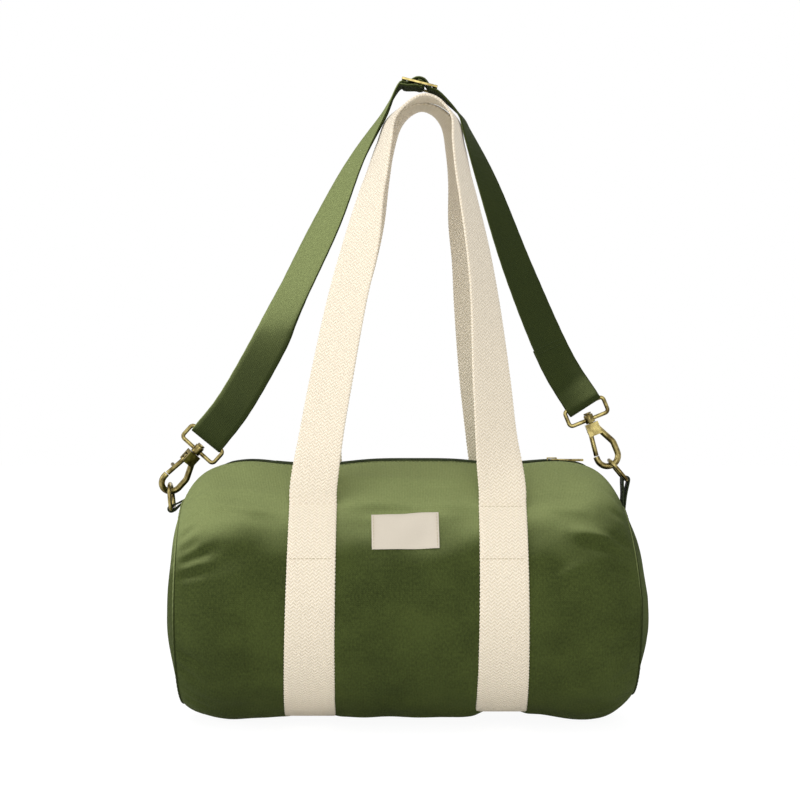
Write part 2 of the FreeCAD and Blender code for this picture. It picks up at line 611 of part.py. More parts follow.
def eye_turn(sample, sense):
    """Stations of the fold round an eye's bar, past the arch's end."""
    point, along, facing, across = sample
    stations = []
    for step in range(TURN_STEPS + 1):
        angle = math.pi * step / TURN_STEPS
        stations.append((point + facing * (turn_radius * math.cos(angle) * sense)
                         + along * (turn_radius * math.sin(angle) * sense), across))
    return stations


flat = lean(QUARTER + size("crest_lean"))
crest_place = Placement(crest, Rotation(flat, Y, flat.cross(Y), "ZXY"))
half_bar, pitch = size("adjuster_bar") / 2, size("adjuster_spacing")
near_bar = (size("adjuster_thickness") + size("strap_thickness")) / 2 + size("fabric_gap")
over_loop = near_bar + size("strap_thickness") + size("fabric_gap")


def at_crest(*places):
    """Stations at the adjuster, each a distance along the strap and a lift from the adjuster's plane."""
    return [(crest_place.multVec(Vector(along, 0, lift)), Y) for along, lift in places]


fold = [math.pi * step / TURN_STEPS for step in range(TURN_STEPS + 1)]
loop_turn = [(half_bar + near_bar * math.sin(angle), near_bar * math.cos(angle)) for angle in fold]
loop_end = at_crest((-half_bar, near_bar), *loop_turn, (-half_bar, -near_bar),
                    (half_bar - pitch, -over_loop), (-half_bar - pitch, -over_loop))
over_middle = at_crest((-half_bar - pitch, -near_bar), (half_bar - pitch, -near_bar),
                       (-half_bar - near_bar / 2, over_loop), (half_bar + near_bar / 2, over_loop),
                       (pitch - half_bar, -near_bar), (pitch + half_bar, -near_bar))
left_leg = arch[1:SPAN_STEPS * len(LEFT_LEG_SHARES) + 1]
right_leg = arch[SPAN_STEPS * (len(LEFT_LEG_SHARES) + 2):-1]
flare = (turn_radius + layer) / 2
stations = loop_end
stations += lifted(left_leg[:0:-1], -layer) + lifted(left_leg[:1], -flare)
stations += eye_turn(arch[0], -1) + lifted(left_leg[:1], flare) + lifted(left_leg[1:], layer)
stations += over_middle
stations += lifted(right_leg[:-1], layer) + lifted(right_leg[-1:], flare) + eye_turn(arch[-1], 1)
stations += lifted(right_leg[-1:], -flare) + lifted(right_leg[-2:-2 - TAIL_STATIONS:-1], -layer)
feature("shoulder_strap", strip(stations, size("strap_width"), size("strap_thickness")))

frame_y = size("strap_width") / 2 + size("adjuster_margin")
slot_y = frame_y - size("adjuster_bar") / 2
plate_z = -size("adjuster_thickness") / 2


def adjuster_box(name, along, across, **sizes):
    corner = crest_place.multVec(Vector(along, across, plate_z))
    return solid("Box", "adjuster_" + name, corner, crest_place.Rotation,
                 Height="adjuster_thickness", **sizes)


slots = [adjuster_box(f"slot_{number}", start, -slot_y, Length="adjuster_spacing - adjuster_bar",
                      Width="strap_width + 2 * adjuster_margin - adjuster_bar")
         for number, start in enumerate((half_bar - pitch, half_bar))]
plate = adjuster_box("plate", -half_bar - pitch, -frame_y, Length="2 * adjuster_spacing + adjuster_bar",
                     Width="strap_width + 2 * adjuster_margin")
keep("strap_adjuster", cut("strap_adjuster", plate, *slots))

# Check and write every sub-part
doc.recompute()
for item in doc.Objects:
    if "Invalid" in item.State or "Error" in item.State:
        raise RuntimeError(f"{item.Name} failed: {item.State}")
for label, item in pieces.items():
    if item.Shape.isNull() or not item.Shape.isValid() or len(item.Shape.Solids) != 1:
        raise RuntimeError(f"{label} is not one valid solid")
os.makedirs("parts", exist_ok=True)
for label, item in pieces.items():
    item.Shape.exportStep(f"parts/{label}.step")
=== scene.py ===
import math
import random

import bpy
import numpy as np
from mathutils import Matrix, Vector


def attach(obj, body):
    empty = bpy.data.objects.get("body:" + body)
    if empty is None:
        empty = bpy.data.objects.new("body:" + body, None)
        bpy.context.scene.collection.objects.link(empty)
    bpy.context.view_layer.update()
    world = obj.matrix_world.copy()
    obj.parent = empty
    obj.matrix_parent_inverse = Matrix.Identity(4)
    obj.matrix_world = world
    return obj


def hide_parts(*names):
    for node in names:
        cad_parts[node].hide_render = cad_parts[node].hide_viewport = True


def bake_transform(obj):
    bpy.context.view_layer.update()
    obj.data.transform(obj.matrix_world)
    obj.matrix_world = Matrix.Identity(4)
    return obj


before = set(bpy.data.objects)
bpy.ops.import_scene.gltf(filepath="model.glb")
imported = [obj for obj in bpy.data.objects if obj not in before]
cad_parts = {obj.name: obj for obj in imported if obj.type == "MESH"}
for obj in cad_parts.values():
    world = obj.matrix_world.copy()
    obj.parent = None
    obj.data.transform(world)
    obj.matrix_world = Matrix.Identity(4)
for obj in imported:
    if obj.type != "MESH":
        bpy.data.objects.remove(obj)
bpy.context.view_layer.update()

bl_info = {
    "name": "Barrel bag",
    "version": (1, 0, 0),
    "blender": (4, 5, 0),
    "location": "View3D > Sidebar > Bag",
    "description": "Dresses the barrel bag's frame with cloth, webbing, zip and hardware",
    "category": "Object",
}

ACROSS_BAG = Vector((0, 1, 0))

# How the round draws in at the end seams: angle from the top, drop at the seam, steepness.
LEFT_DRAW = ((0, 0.029, 5.2), (35, 0.029, 4.8), (65, 0.028, 2.8), (120, 0.021, 3.0), (180, 0.013, 4.0))
RIGHT_DRAW = ((0, 0.034, 4.6), (35, 0.034, 4.2), (65, 0.030, 2.6), (120, 0.023, 3.0), (180, 0.021, 4.2))
# Soft folds on the front: start and end as place along the bag and angle from the top, width, height.
FOLDS = (
    (-0.056, 44.0, 0.056, 45.5, 0.0050, 0.0018), (-0.056, 47.5, 0.056, 49.0, 0.0060, -0.0009),
    (-0.180, 66.0, -0.098, 44.0, 0.0120, 0.0016), (-0.172, 80.0, -0.098, 58.0, 0.0120, -0.0012),
    (-0.150, 100.0, -0.098, 78.0, 0.0180, 0.0020), (-0.165, 128.0, -0.100, 112.0, 0.0140, -0.0018),
    (0.124, 57.0, 0.180, 61.0, 0.0042, 0.0026), (0.128, 62.0, 0.174, 66.0, 0.0050, -0.0018),
    (-0.052, 53.0, 0.052, 50.0, 0.0040, 0.0010),
    (-0.170, 42.0, -0.100, 50.0, 0.0040, 0.0014), (-0.166, 47.0, -0.104, 54.0, 0.0050, -0.0012),
    (0.100, 45.0, 0.150, 48.0, 0.0040, 0.0016), (0.104, 84.0, 0.140, 73.0, 0.0050, 0.0020),
    (0.098, 68.0, 0.165, 66.0, 0.0110, -0.0020),
    (0.104, 92.0, 0.165, 74.0, 0.0140, 0.0020), (0.104, 112.0, 0.170, 100.0, 0.0150, -0.0018),
    (-0.050, 84.0, 0.052, 79.0, 0.0120, 0.0018), (-0.050, 104.0, 0.050, 100.0, 0.0150, -0.0016),
    (-0.052, 126.0, 0.052, 121.0, 0.0150, 0.0016), (0.100, 134.0, 0.168, 128.0, 0.0140, 0.0022),
    (-0.052, 27.0, 0.052, 30.0, 0.0050, 0.0014), (-0.052, 35.0, 0.052, 36.0, 0.0060, -0.0012),
    (-0.172, 33.0, -0.098, 38.0, 0.0060, 0.0016), (0.098, 38.0, 0.160, 36.0, 0.0060, -0.0016),
)
# Puffs of canvas beside both ends of the zip: place along the bag, reach, height; their angle and its reach.
PUFFS = ((-0.130, 0.026, 0.0046), (0.122, 0.032, 0.0046))
PUFF_ANGLE = (13, 9)
# Slow waves of the filled canvas: height, distance from wave to wave, seed.
SWELLS = ((0.0014, 0.085, 3), (0.0009, 0.034, 11))
# Arch of the closed mouth between the handles: height, middle along the bag, reach, reach in degrees.
CROWN, CROWN_MIDDLE, CROWN_REACH, CROWN_ANGLE = 0.0036, 0.006, 0.055, 32
# The waves start at this angle from the top, are full so many degrees on, and fade out before the seams.
CALM_ANGLE, CALM_EASE, CALM_END = 7, 22, 0.03
# The webbing holds the canvas flat over its half width and presses a dent into it: depth, reach.
WEB_HOLD, WEB_DENT, DENT_REACH = 0.017, 0.0016, 0.024
# The canvas tucks into the end seams: depth, reach. Gathers fade out this close to them.
SEAM_TUCK, TUCK_REACH, GATHER_END = 0.0014, 0.0022, 0.006
# Underside: where it starts, how it eases in, in degrees, and how much fuller it hangs beside the bands.
UNDER_ANGLE, UNDER_EASE, UNDER_FULL = 110, 60, 0.0012
# Lift of the underside off the ground: between the ends, under the left and right band, a bow at the right.
SAG_END, SAG_EASE, SAG_LIFT, LEFT_LIFT, RIGHT_LIFT = 0.150, 0.05, 0.0052, 0.0044, 0.0064
BOW, BOW_MIDDLE, BOW_REACH, FLOOR_BLEND = 0.0034, 0.085, 0.05, 0.002
# Gathers that run in from the end seams on the front: end of the bag, angle, length, drift in degrees, depth.
GATHERS = (
    (-1, 63, 0.024, -3, 0.0020), (-1, 70, 0.034, -4, 0.0040), (-1, 78, 0.030, -3, 0.0036),
    (-1, 98, 0.020, 2, 0.0018), (-1, 118, 0.030, 4, 0.0042), (-1, 127, 0.022, 5, 0.0028),
    (1, 60, 0.024, -3, 0.0022), (1, 78, 0.030, -5, 0.0036), (1, 90, 0.022, -3, 0.0024),
    (1, 102, 0.036, -2, 0.0046), (1, 113, 0.026, -5, 0.0032), (1, 128, 0.026, 3, 0.0022),
)
# Handle loops: across as a share of the webbing's spread, rise and quarter twist as shares.
HANDLE_SHARES = {
    "front": (
        (-1.0, 0.0, 0.0), (-0.93, 0.15, 0.2), (-0.815, 0.3, 0.26), (-0.65, 0.49, 0.35),
        (-0.51, 0.62, 0.42), (-0.4, 0.743, 0.62), (-0.335, 0.8, 0.7), (-0.262, 0.87, 0.8),
        (-0.175, 0.935, 0.88), (0.03, 0.975, 0.96), (0.194, 0.985, 1.0), (0.35, 0.975, 0.97),
        (0.515, 0.935, 0.9), (0.56, 0.87, 0.83), (0.605, 0.8, 0.78), (0.655, 0.743, 0.74),
        (0.755, 0.62, 0.66), (0.83, 0.49, 0.57), (0.895, 0.3, 0.39), (0.945, 0.15, 0.27), (1.0, 0.0, 0.0),
    ),
    "back": (
        (-1.0, 0.0, 0.0), (-1.0, 0.15, 0.2), (-0.88, 0.3, 0.28), (-0.7, 0.49, 0.4), (-0.53, 0.61, 0.5),
        (-0.416, 0.7, 0.6), (-0.32, 0.81, 0.72), (-0.255, 0.878, 0.78), (-0.13, 0.943, 0.88),
        (0.01, 0.972, 0.95), (0.163, 0.982, 1.0), (0.32, 0.972, 0.96), (0.45, 0.943, 0.88),
        (0.54, 0.878, 0.78), (0.585, 0.81, 0.72), (0.625, 0.7, 0.6), (0.69, 0.6, 0.52),
        (0.735, 0.49, 0.44), (0.825, 0.3, 0.33), (0.92, 0.15, 0.22), (1.0, 0.0, 0.0),
    ),
}
# Strap legs from hook eye to crest: across and rise as shares of the leg, and the quarter twist left.
LEFT_LEG = (
    (1.0, 0.0, 1.0), (0.885, 0.088, 0.97), (0.7, 0.282, 0.9), (0.652, 0.344, 0.74), (0.43, 0.609, 0.52),
    (0.295, 0.787, 0.3), (0.165, 0.918, 0.1),
)
RIGHT_LEG = (
    (0.25, 0.899, 0.1), (0.4, 0.707, 0.4), (0.605, 0.415, 0.66), (0.848, 0.126, 0.86), (1.0, 0.0, 1.0),
)
# The strap's crest, the lean of its adjuster there, and where it turns round the bars of the hook eyes.
CREST = Vector((0.010, 0, 0.526))
CREST_LEAN = math.radians(104)
EYES = {"left": Vector((-0.165733, -0.001258, 0.232999)), "right": Vector((0.146275, 0, 0.261106))}
# Radius round an eye's bar, half the adjuster's bar, gap between layers, sideways slip of the lower layer.
EYE_BAR, ADJUSTER_BAR, LAYER_GAP, LAYER_SLIP = 0.0020, 0.0010, 0.0003, 0.005
# Ring tabs: middle of the ring's straight bar, end of the tab on the bag; radius left round the bar.
TABS = {
    "left": (Vector((-0.1955, 0, 0.174493)), Vector((-0.186, 0, 0.1805))),
    "right": (Vector((0.181, 0, 0.198793)), Vector((0.1788, 0, 0.1736))),
}
RING_BAR = 0.0019
# Zip: edges of the tape from the top, thickness of tapes, width and thickness of the welts, size of a tooth.
TAPE_EDGES = (math.radians(0.7), math.radians(9.5))
TAPE, WELT_WIDTH, WELT_THICKNESS = 0.0006, 0.0032, 0.0018
TOOTH = (0.0014, 0.0038, 0.0019)
# Hem stitches beyond the edge of the canvas, as an angle.
HEM = 0.045
# The tape is straight within the first angle less the second, and follows the lips from the first on.
TAPE_FOLLOWS, TAPE_EASE = 8, 5
# Stitches: length of one with its gap, radius of the thread.
STITCHES = {
    "hem": (0.0032, 0.0003), "webbing": (0.0030, 0.00035),
    "label": (0.0026, 0.00025), "strap": (0.0028, 0.0003),
}
# Trough in the bands over the shoulders: depth, end along the bag, edge as an angle.
TROUGH, TROUGH_END, TROUGH_EDGE = 0.0092, 0.141, 0.105
# Those bands against the canvas: sunk into it near the seam, raised by so much on the zip's side of a place.
BAND_SUNK, BAND_RAISED, BAND_BEND = -0.0014, 0.0024, 0.158
# Label: width, height, thickness, middle along the bag, angle from the top and tilt.
LABEL_WIDTH, LABEL_HEIGHT, LABEL_CLOTH = 0.053, 0.031, 0.0006
LABEL_MIDDLE, LABEL_ANGLE, LABEL_TILT = -0.002, math.radians(58), math.radians(1.2)
# Scallops of woven edges as a share of the half width, and the gap that keeps webbing clear of the canvas.
SELVEDGE, STRAP_SELVEDGE, WEB_GAP = 0.018, 0.004, 0.0002
# Under the bag the left band drifts outward by twice this, and both lie a little wider.
WEB_DRIFT, WEB_SPREAD = 0.002, 1.03
# Part of a handle that bends at its foot, and the cross stitches there, in degrees below the foot.
HANDLE_BEND, CROSS_STITCHES = 0.035, (1.4, 26)
# Straight part at a handle's foot. The webbing has its full width again this far below the top, eased in.
HANDLE_LEAD, LOOP_TOP, LOOP_EASE = 0.012, 0.08, 0.04
# Broken edges of the metal parts.
METAL_EDGE = 0.0003
# Waves of the end panels: height, distance from wave to wave; and their ripples: step and width in degrees.
END_SWELL, END_PITCH, RIPPLE_STEP, RIPPLE_WIDTH = 0.0016, 0.07, 11, 2.6
# Softboxes: places, the point that they face, width. Share of the floor that glows, strength of the surround.
LIGHTS = {
    "key": (-0.70, -0.55, 1.70), "front": (0.2, -1.9, 0.8),
    "side": (-1.7, -0.5, 0.5), "back": (0.5, 1.3, 1.2),
}
LIGHT_AIM, LIGHT_SIZE, FLOOR_GLOW, SURROUND = Vector((0, 0, 0.2)), 1.2, 0.86, 0.68
SIDES = (("front", 1), ("back", -1))
HANDS = (("left", -1), ("right", 1))


def linear(code):
    """An sRGB hex colour as linear red, green, blue and alpha."""
    channels = [int(code[place:place + 2], 16) / 255 for place in (1, 3, 5)]
    return [c / 12.92 if c <= 0.04045 else ((c + 0.055) / 1.055) ** 2.4 for c in channels] + [1.0]


def length(name, default, description):
    """A setting in metres."""
    return bpy.props.FloatProperty(name=name, description=description, default=default,
                                   unit="LENGTH", subtype="DISTANCE", precision=5)


def angle(name, degrees, description):
    """A setting given in degrees and kept in radians."""
    return bpy.props.FloatProperty(name=name, description=description, default=math.radians(degrees),
                                   unit="ROTATION", subtype="ANGLE")


def colour(name, code, description):
    """A setting given as an sRGB hex colour."""
    return bpy.props.FloatVectorProperty(name=name, description=description, default=linear(code),
                                         size=4, min=0, max=1, subtype="COLOR")


class BagSizes(bpy.types.PropertyGroup):
    axis: length("Axis height", 0.1059, "Height of the barrel's axis above the ground")
    radius: length("Radius", 0.106, "Radius of the round body")
    seam: length("Seam", 0.1850, "End seam from the middle of the bag")
    shoulder: length("Shoulder", 0.112, "Where the round starts to draw in, from the middle")
    lean: length("Lean", 0.007, "How far the right end's seam leans inward at its top")
    bulge: length("End bulge", 0.0110, "Bulge of the end panels beyond the seam")
    binding: length("Seam roll", 0.0011, "Radius of the bound end seams")
    ground: length("Ground gap", 0.0006, "Lowest point of the canvas above the ground")
    cloth: length("Canvas", 0.0016, "Thickness of the canvas")
    mouth: length("Mouth", 0.110, "Half length of the part of the mouth that opens")
    fold: angle("Fold", 40, "Where the lips fold, from the top")
    zip_edge: angle("Zip edge", 6.4, "Edge of the canvas beside the zip, from the top")
    zip_drop: length("Zip drop", 0.0022, "Zip tape below the canvas")
    tooth_pitch: length("Tooth pitch", 0.0032, "Distance between teeth of one row")


class BandSizes(bpy.types.PropertyGroup):
    width: length("Webbing width", 0.040, "Width of the webbing")
    thickness: length("Webbing thickness", 0.0022, "Thickness of the webbing")
    spread: length("Webbing spread", 0.075, "Middle of each webbing band from the middle of the bag")
    pinch: bpy.props.FloatProperty(name="Pinch", description="Width of the pulled webbing as a share",
                                   default=0.94, subtype="FACTOR")
    stitch: angle("Stitch line", 45, "Cross stitch where the handles leave the bag, from the top")
    top: length("Handle top", 0.5175, "Highest point of the handles' middle line")
    strap_width: length("Strap width", 0.030, "Width of the shoulder strap")
    strap_thickness: length("Strap thickness", 0.0018, "Thickness of the shoulder strap")
    tab_width: length("Tab width", 0.020, "Width of the ring tabs")
    tab_thickness: length("Tab thickness", 0.0014, "Thickness of the ring tabs")


class BagColours(bpy.types.PropertyGroup):
    canvas: colour("Canvas", "#303819", "Olive cotton canvas")
    canvas_worn: colour("Worn canvas", "#475127", "Paler threads of the canvas")
    # painted light: the canvas's paler tone where it faces the key light and on top
    canvas_lit: colour("Lit canvas", "#88925f", "Canvas that faces the light")
    # painted shade: the strap's canvas is made darker than the body's for the shade on its right leg
    strap: colour("Strap", "#2a3218", "Deep olive of the strap")
    webbing: colour("Webbing", "#ebe0cd", "Cream cotton webbing")
    tape: colour("Tape", "#1d2215", "Zip tape and ring tabs")
    label: colour("Label", "#c6bdae", "Sewn label")
    # partly painted shade: the thread is darker than the webbing, partly as the shade along its stitch lines
    thread: colour("Thread", "#b5a78c", "Cream sewing thread")
    green_thread: colour("Green thread", "#323c1e", "Green sewing thread")
    brass: colour("Brass", "#a39560", "Antique brass, worn bright")
    patina: colour("Patina", "#4a3e20", "Antique brass, in the recesses")
    steel: colour("Steel", "#6b6a66", "Spring steel")
    steel_dark: colour("Dark steel", "#2c2b29", "Spring steel, in the recesses")
    floor: colour("Floor", "#f7f7f6", "Studio floor")


# Modelling helpers
def chosen():
    """The settings on the scene."""
    return bpy.context.scene.bag_sizes, bpy.context.scene.bag_bands, bpy.context.scene.bag_colours


def grid(name, columns, rows):
    """A unit grid as a new object, with each vertex's place on it from 0 to 1."""
    bpy.ops.object.select_all(action="DESELECT")
    bpy.ops.mesh.primitive_grid_add(x_subdivisions=columns, y_subdivisions=rows, size=1)
    piece = bpy.context.object
    piece.name = piece.data.name = name
    flat = np.empty(len(piece.data.vertices) * 3)
    piece.data.vertices.foreach_get("co", flat)
    return piece, flat[0::3] + 0.5, flat[1::3] + 0.5


def lay(piece, points, along, across):
    """Move a grid's vertices to their points and store the cloth's own coordinates, in metres, as its UVs."""
    piece.data.vertices.foreach_set("co", np.asarray(points, float).ravel())
    corners = np.empty(len(piece.data.loops), int)
    piece.data.loops.foreach_get("vertex_index", corners)
    cloth = np.stack([along[corners], across[corners]], 1)
    piece.data.uv_layers.active.data.foreach_set("uv", cloth.ravel())
    piece.data.update()


def only(piece):
    """Select one piece alone."""
    bpy.ops.object.select_all(action="DESELECT")
    piece.select_set(True)
    bpy.context.view_layer.objects.active = piece


def edit(piece, *steps):
    """Run edit-mode operators on the whole mesh of a piece."""
    only(piece)
    bpy.ops.object.mode_set(mode="EDIT")
    bpy.ops.mesh.select_all(action="SELECT")
    for operator, settings in steps:
        operator(**settings)
    bpy.ops.object.mode_set(mode="OBJECT")


def modified(piece, kind, **settings):
    """Add a modifier to a piece and apply it."""
    only(piece)
    bpy.ops.object.modifier_add(type=kind)
    modifier = piece.modifiers[-1]
    for key, value in settings.items():
        setattr(modifier, key, value)
    bpy.ops.object.modifier_apply(modifier=modifier.name)


def dressed(piece, material, slot, *nodes):
    """Give a finished piece its material and smooth shading and hide the CAD nodes that it stands for. The
    slot is not used.
    """
    piece.data.materials.clear()
    piece.data.materials.append(bpy.data.materials[material])
    only(piece)
    bpy.ops.object.shade_smooth_by_angle(angle=math.radians(50))
    if nodes:
        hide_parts(*nodes)
    return piece


def smooth_path(points, directions, step):
    """Even samples of a smooth curve through points, with a direction carried along."""
    points, directions = np.array(points, float), np.array(directions, float)
    gaps = np.sqrt(np.linalg.norm(np.diff(points, axis=0), axis=1))
    marks = np.concatenate([[0], np.cumsum(gaps)])
    fine = np.linspace(0, marks[-1], 40 * len(points))
    both = np.concatenate([points, directions], 1)
    slopes = np.gradient(both, marks, axis=0)
    span = np.clip(np.searchsorted(marks, fine, "right") - 1, 0, len(marks) - 2)
    wide = gaps[span][:, None]
    t = ((fine - marks[span]) / gaps[span])[:, None]
    curve = ((2 * t**3 - 3 * t**2 + 1) * both[span] + (t**3 - 2 * t**2 + t) * wide * slopes[span]
             + (3 * t**2 - 2 * t**3) * both[span + 1] + (t**3 - t**2) * wide * slopes[span + 1])
    run = np.concatenate([[0], np.cumsum(np.linalg.norm(np.diff(curve[:, :3], axis=0), axis=1))])
    even = np.linspace(0, run[-1], max(3, int(run[-1] / step)))
    sampled = np.stack([np.interp(even, run, curve[:, axis]) for axis in range(6)], 1)
    return sampled[:, :3], sampled[:, 3:], even


def band(name, points, across, run, width, thickness, scallop=0.0, pitch=0.003, columns=8, stretch=None):
    """A flat band along a path; its round edges can be scalloped as woven ones are, its width stretched."""
    along = np.gradient(points, axis=0)
    along /= np.linalg.norm(along, axis=1)[:, None]
    side = across - along * np.sum(across * along, 1)[:, None]
    side /= np.linalg.norm(side, axis=1)[:, None]
    face = np.cross(along, side)
    flat, round_edge = (width - thickness) / 2, np.linspace(0, math.pi, 6)[1:-1]
    level = np.linspace(-flat, flat, columns + 1)
    a = np.concatenate([level, flat + np.sin(round_edge) * thickness / 2,
                        level[::-1], -flat - np.sin(round_edge) * thickness / 2, level[:1]])
    f = np.concatenate([np.full(columns + 1, 1), np.cos(round_edge),
                        np.full(columns + 1, -1), -np.cos(round_edge), [1]]) * thickness / 2
    piece, u, v = grid(name, len(points) - 1, len(a) - 1)
    i, j = np.rint(u * (len(points) - 1)).astype(int), np.rint(v * (len(a) - 1)).astype(int)
    edge = (np.abs(a[j]) / (width / 2)) ** 8
    wave = 1 + scallop * np.sin(run[i] * math.tau / pitch + np.sign(a[j]) * 1.3) * edge
    wide = a[j] * wave * (1 if stretch is None else stretch[i])
    lay(piece, points[i] + side[i] * wide[:, None] + face[i] * f[j][:, None], run[i], a[j])
    edit(piece, (bpy.ops.mesh.remove_doubles, {"threshold": 1e-6}), (bpy.ops.mesh.fill_holes, {"sides": 0}),
         (bpy.ops.mesh.normals_make_consistent, {"inside": False}))
    return piece


def stitches(name, points, normals, kind, material, slot):
    """A row of single stitches along a path, each a short round of thread laid on the cloth."""
    pitch, thread = STITCHES[kind]
    points, normals, run = smooth_path(points, normals, 0.0005)
    count = int(run[-1] / pitch)
    bpy.ops.object.select_all(action="DESELECT")
    bpy.ops.mesh.primitive_uv_sphere_add(segments=6, ring_count=5, radius=1)
    model = bpy.context.object
    shape = np.array([vertex.co for vertex in model.data.vertices])
    faces = [tuple(polygon.vertices) for polygon in model.data.polygons]
    mesh = model.data
    bpy.data.objects.remove(model)
    bpy.data.meshes.remove(mesh)
    corners, sides = [], []
    for number in range(count):
        at = np.searchsorted(run, (number + 0.5) * pitch)
        at = min(max(at, 1), len(run) - 2)
        along = points[at + 1] - points[at - 1]
        along /= np.linalg.norm(along)
        out = normals[at] - along * (normals[at] @ along)
        out /= np.linalg.norm(out)
        beside = np.cross(out, along)
        sides += [tuple(index + len(shape) * number for index in face) for face in faces]
        corners.append(points[at] + shape[:, :1] * beside * thread + shape[:, 1:2] * out * thread * 0.8
                       + shape[:, 2:] * along * pitch * 0.42)
    made = bpy.data.meshes.new(name)
    made.from_pydata(np.concatenate(corners).tolist(), [], sides)
    piece = bpy.data.objects.new(name, made)
    bpy.context.collection.objects.link(piece)
    edit(piece, (bpy.ops.mesh.normals_make_consistent, {"inside": False}))
    return dressed(piece, material, slot)


# The canvas surface
def swell(along, around, pitch, seed):
    """Slow random waves of about one pitch in each direction."""
    chance = random.Random(seed)
    total = 0
    for _ in range(9):
        turn, size = chance.uniform(0, math.tau), pitch * chance.uniform(0.75, 1.5)
        total = total + np.cos((along * math.cos(turn) + around * math.sin(turn)) * math.tau / size
                               + chance.uniform(0, math.tau))
    return total / 4


def eased(value):
    """A smooth step from 0 to 1."""
    value = np.clip(value, 0, 1)
    return value * value * (3 - 2 * value)


def hump(gap, reach, power=2):
    """1 where there is no gap, falling smoothly to 0 beyond the reach."""
    return np.exp(-((gap / reach) ** power))


def crease(x, around, start, end, width, height):
    """A ridge, or a valley if the height is negative, along a line on the cloth; it fades out at its ends."""
    run_x, run_a = end[0] - start[0], end[1] - start[1]
    t = ((x - start[0]) * run_x + (around - start[1]) * run_a) / (run_x**2 + run_a**2)
    near = np.clip(t, 0, 1)
    gap = np.hypot(x - start[0] - near * run_x, around - start[1] - near * run_a)
    return height * hump(gap, width) * (0.25 + 0.75 * eased(t * 3) * eased((1 - t) * 3))


def gathers():
    """Lines of the gathers round both end seams: the set ones of the front, and random ones elsewhere."""
    sizes = chosen()[0]
    rows = list(GATHERS)
    chance = random.Random(4)
    for end in (-1, 1):
        for start in list(range(18, 60, 13)) + list(range(138, 345, 12)):
            rows.append((end, start + chance.uniform(-4, 4), chance.uniform(0.018, 0.036),
                         chance.uniform(-5, 5), chance.uniform(0.0010, 0.0024)))
    lines = []
    for end, start, reach, drift, depth in rows:
        first = (end * (sizes.seam - 0.001), math.radians(start) * sizes.radius)
        last = (end * (sizes.seam - reach), math.radians(start + drift) * sizes.radius)
        lines.append((first, last, 0.0028 + reach * 0.07, -depth))
    return lines


def crown(x):
    """How far the closed mouth arches up between the handles."""
    return CROWN * hump(x - CROWN_MIDDLE, CROWN_REACH, 4)


def skin(x, turn, lift=0.0):
    """Points of the canvas at a place along the bag and an angle from the top, over the front and round."""
    sizes, bands, _ = chosen()
    down = np.abs(np.degrees(np.where(turn > math.pi, math.tau - turn, turn)))
    share = np.clip((np.abs(x) - sizes.shoulder) / (sizes.seam - sizes.shoulder), 0, 1)
    drop = 0
    for table, side in ((LEFT_DRAW, x < 0), (RIGHT_DRAW, x >= 0)):
        rows = np.array(table).T
        drop = drop + side * np.interp(down, rows[0], rows[1]) * share ** np.interp(down, rows[0], rows[2])
    around, inside, off_web = turn * sizes.radius, sizes.seam - np.abs(x), np.abs(x) - bands.spread
    under = hump(off_web, WEB_HOLD, 4)
    free = eased((down - CALM_ANGLE) / CALM_EASE) * eased(inside / CALM_END) * (1 - 0.75 * under)
    relief = 0
    for height, pitch, seed in SWELLS:
        relief = relief + height * free * swell(x, around, pitch, seed)
    for x0, a0, x1, a1, width, height in FOLDS:
        line = (x0, math.radians(a0) * sizes.radius), (x1, math.radians(a1) * sizes.radius)
        relief = relief + crease(x, around, *line, width, height) * (1 - 0.8 * under)
    for first, last, width, height in gathers():
        relief = relief + crease(x, around, first, last, width, height) * eased(inside / GATHER_END)
    low = eased((down - UNDER_ANGLE) / UNDER_EASE)
    relief = relief - WEB_DENT * hump(off_web, DENT_REACH) * (0.3 + low)
    relief = relief + UNDER_FULL * low * (1 - under)
    relief = relief - SEAM_TUCK * np.exp(-inside / TUCK_REACH)
    relief = relief + crown(x) * hump(down, CROWN_ANGLE)
    for place, reach, height in PUFFS:
        relief = relief + height * hump(x - place, reach) * hump(down - PUFF_ANGLE[0], PUFF_ANGLE[1])
    radius = sizes.radius - drop + relief + lift
    z = sizes.axis + radius * np.cos(turn)
    sag = eased((SAG_END - np.abs(x)) / SAG_EASE)
    floor = sizes.ground + BOW * hump(x - BOW_MIDDLE, BOW_REACH)
    floor = floor + sag * (SAG_LIFT + np.where(x > 0, RIGHT_LIFT, LEFT_LIFT) * under)
    floor = floor - np.maximum(lift, -0.01) * (down > 90)
    z = floor + 0.5 * ((z - floor) + np.sqrt((z - floor) ** 2 + FLOOR_BLEND**2))
    drawn_in = eased((x - sizes.shoulder) / (sizes.seam - sizes.shoulder))
    lean = sizes.lean * drawn_in * np.maximum(np.cos(turn), 0)
    return np.stack([x - lean, -radius * np.sin(turn), z], -1)


def skin_normal(x, turn):
    """Outward directions of the canvas."""
    small = 1e-4
    slope_x = skin(x + small, turn) - skin(x - small, turn)
    slope_turn = skin(x, turn + small) - skin(x, turn - small)
    out = np.cross(slope_turn, slope_x)
    return out / np.linalg.norm(out, axis=-1)[..., None]


def cloth_sheet(name, columns, rows, spread, wrap, lift=0.0):
    """A sheet over a part of the bag: knots of share and place along it, of share and angle, and its lift."""
    sizes = chosen()[0]
    piece, u, v = grid(name, columns, rows)
    x, turn = np.interp(u, *zip(*spread)), np.interp(v, *zip(*wrap))
    lay(piece, skin(x, turn, lift(x, turn) if callable(lift) else lift), x, turn * sizes.radius)
    edit(piece, (bpy.ops.mesh.flip_normals, {}))
    return piece


def thickened(piece, thickness):
    """Solid cloth of a sheet; its face stays where it is."""
    modified(piece, "SOLIDIFY", thickness=thickness, offset=-1, use_even_offset=True)


def halves():
    """The four quarters of the mouth: side of the bag, its sign, hand and its sign."""
    for side, sign in SIDES:
        for hand, way in HANDS:
            yield side, sign, hand, way


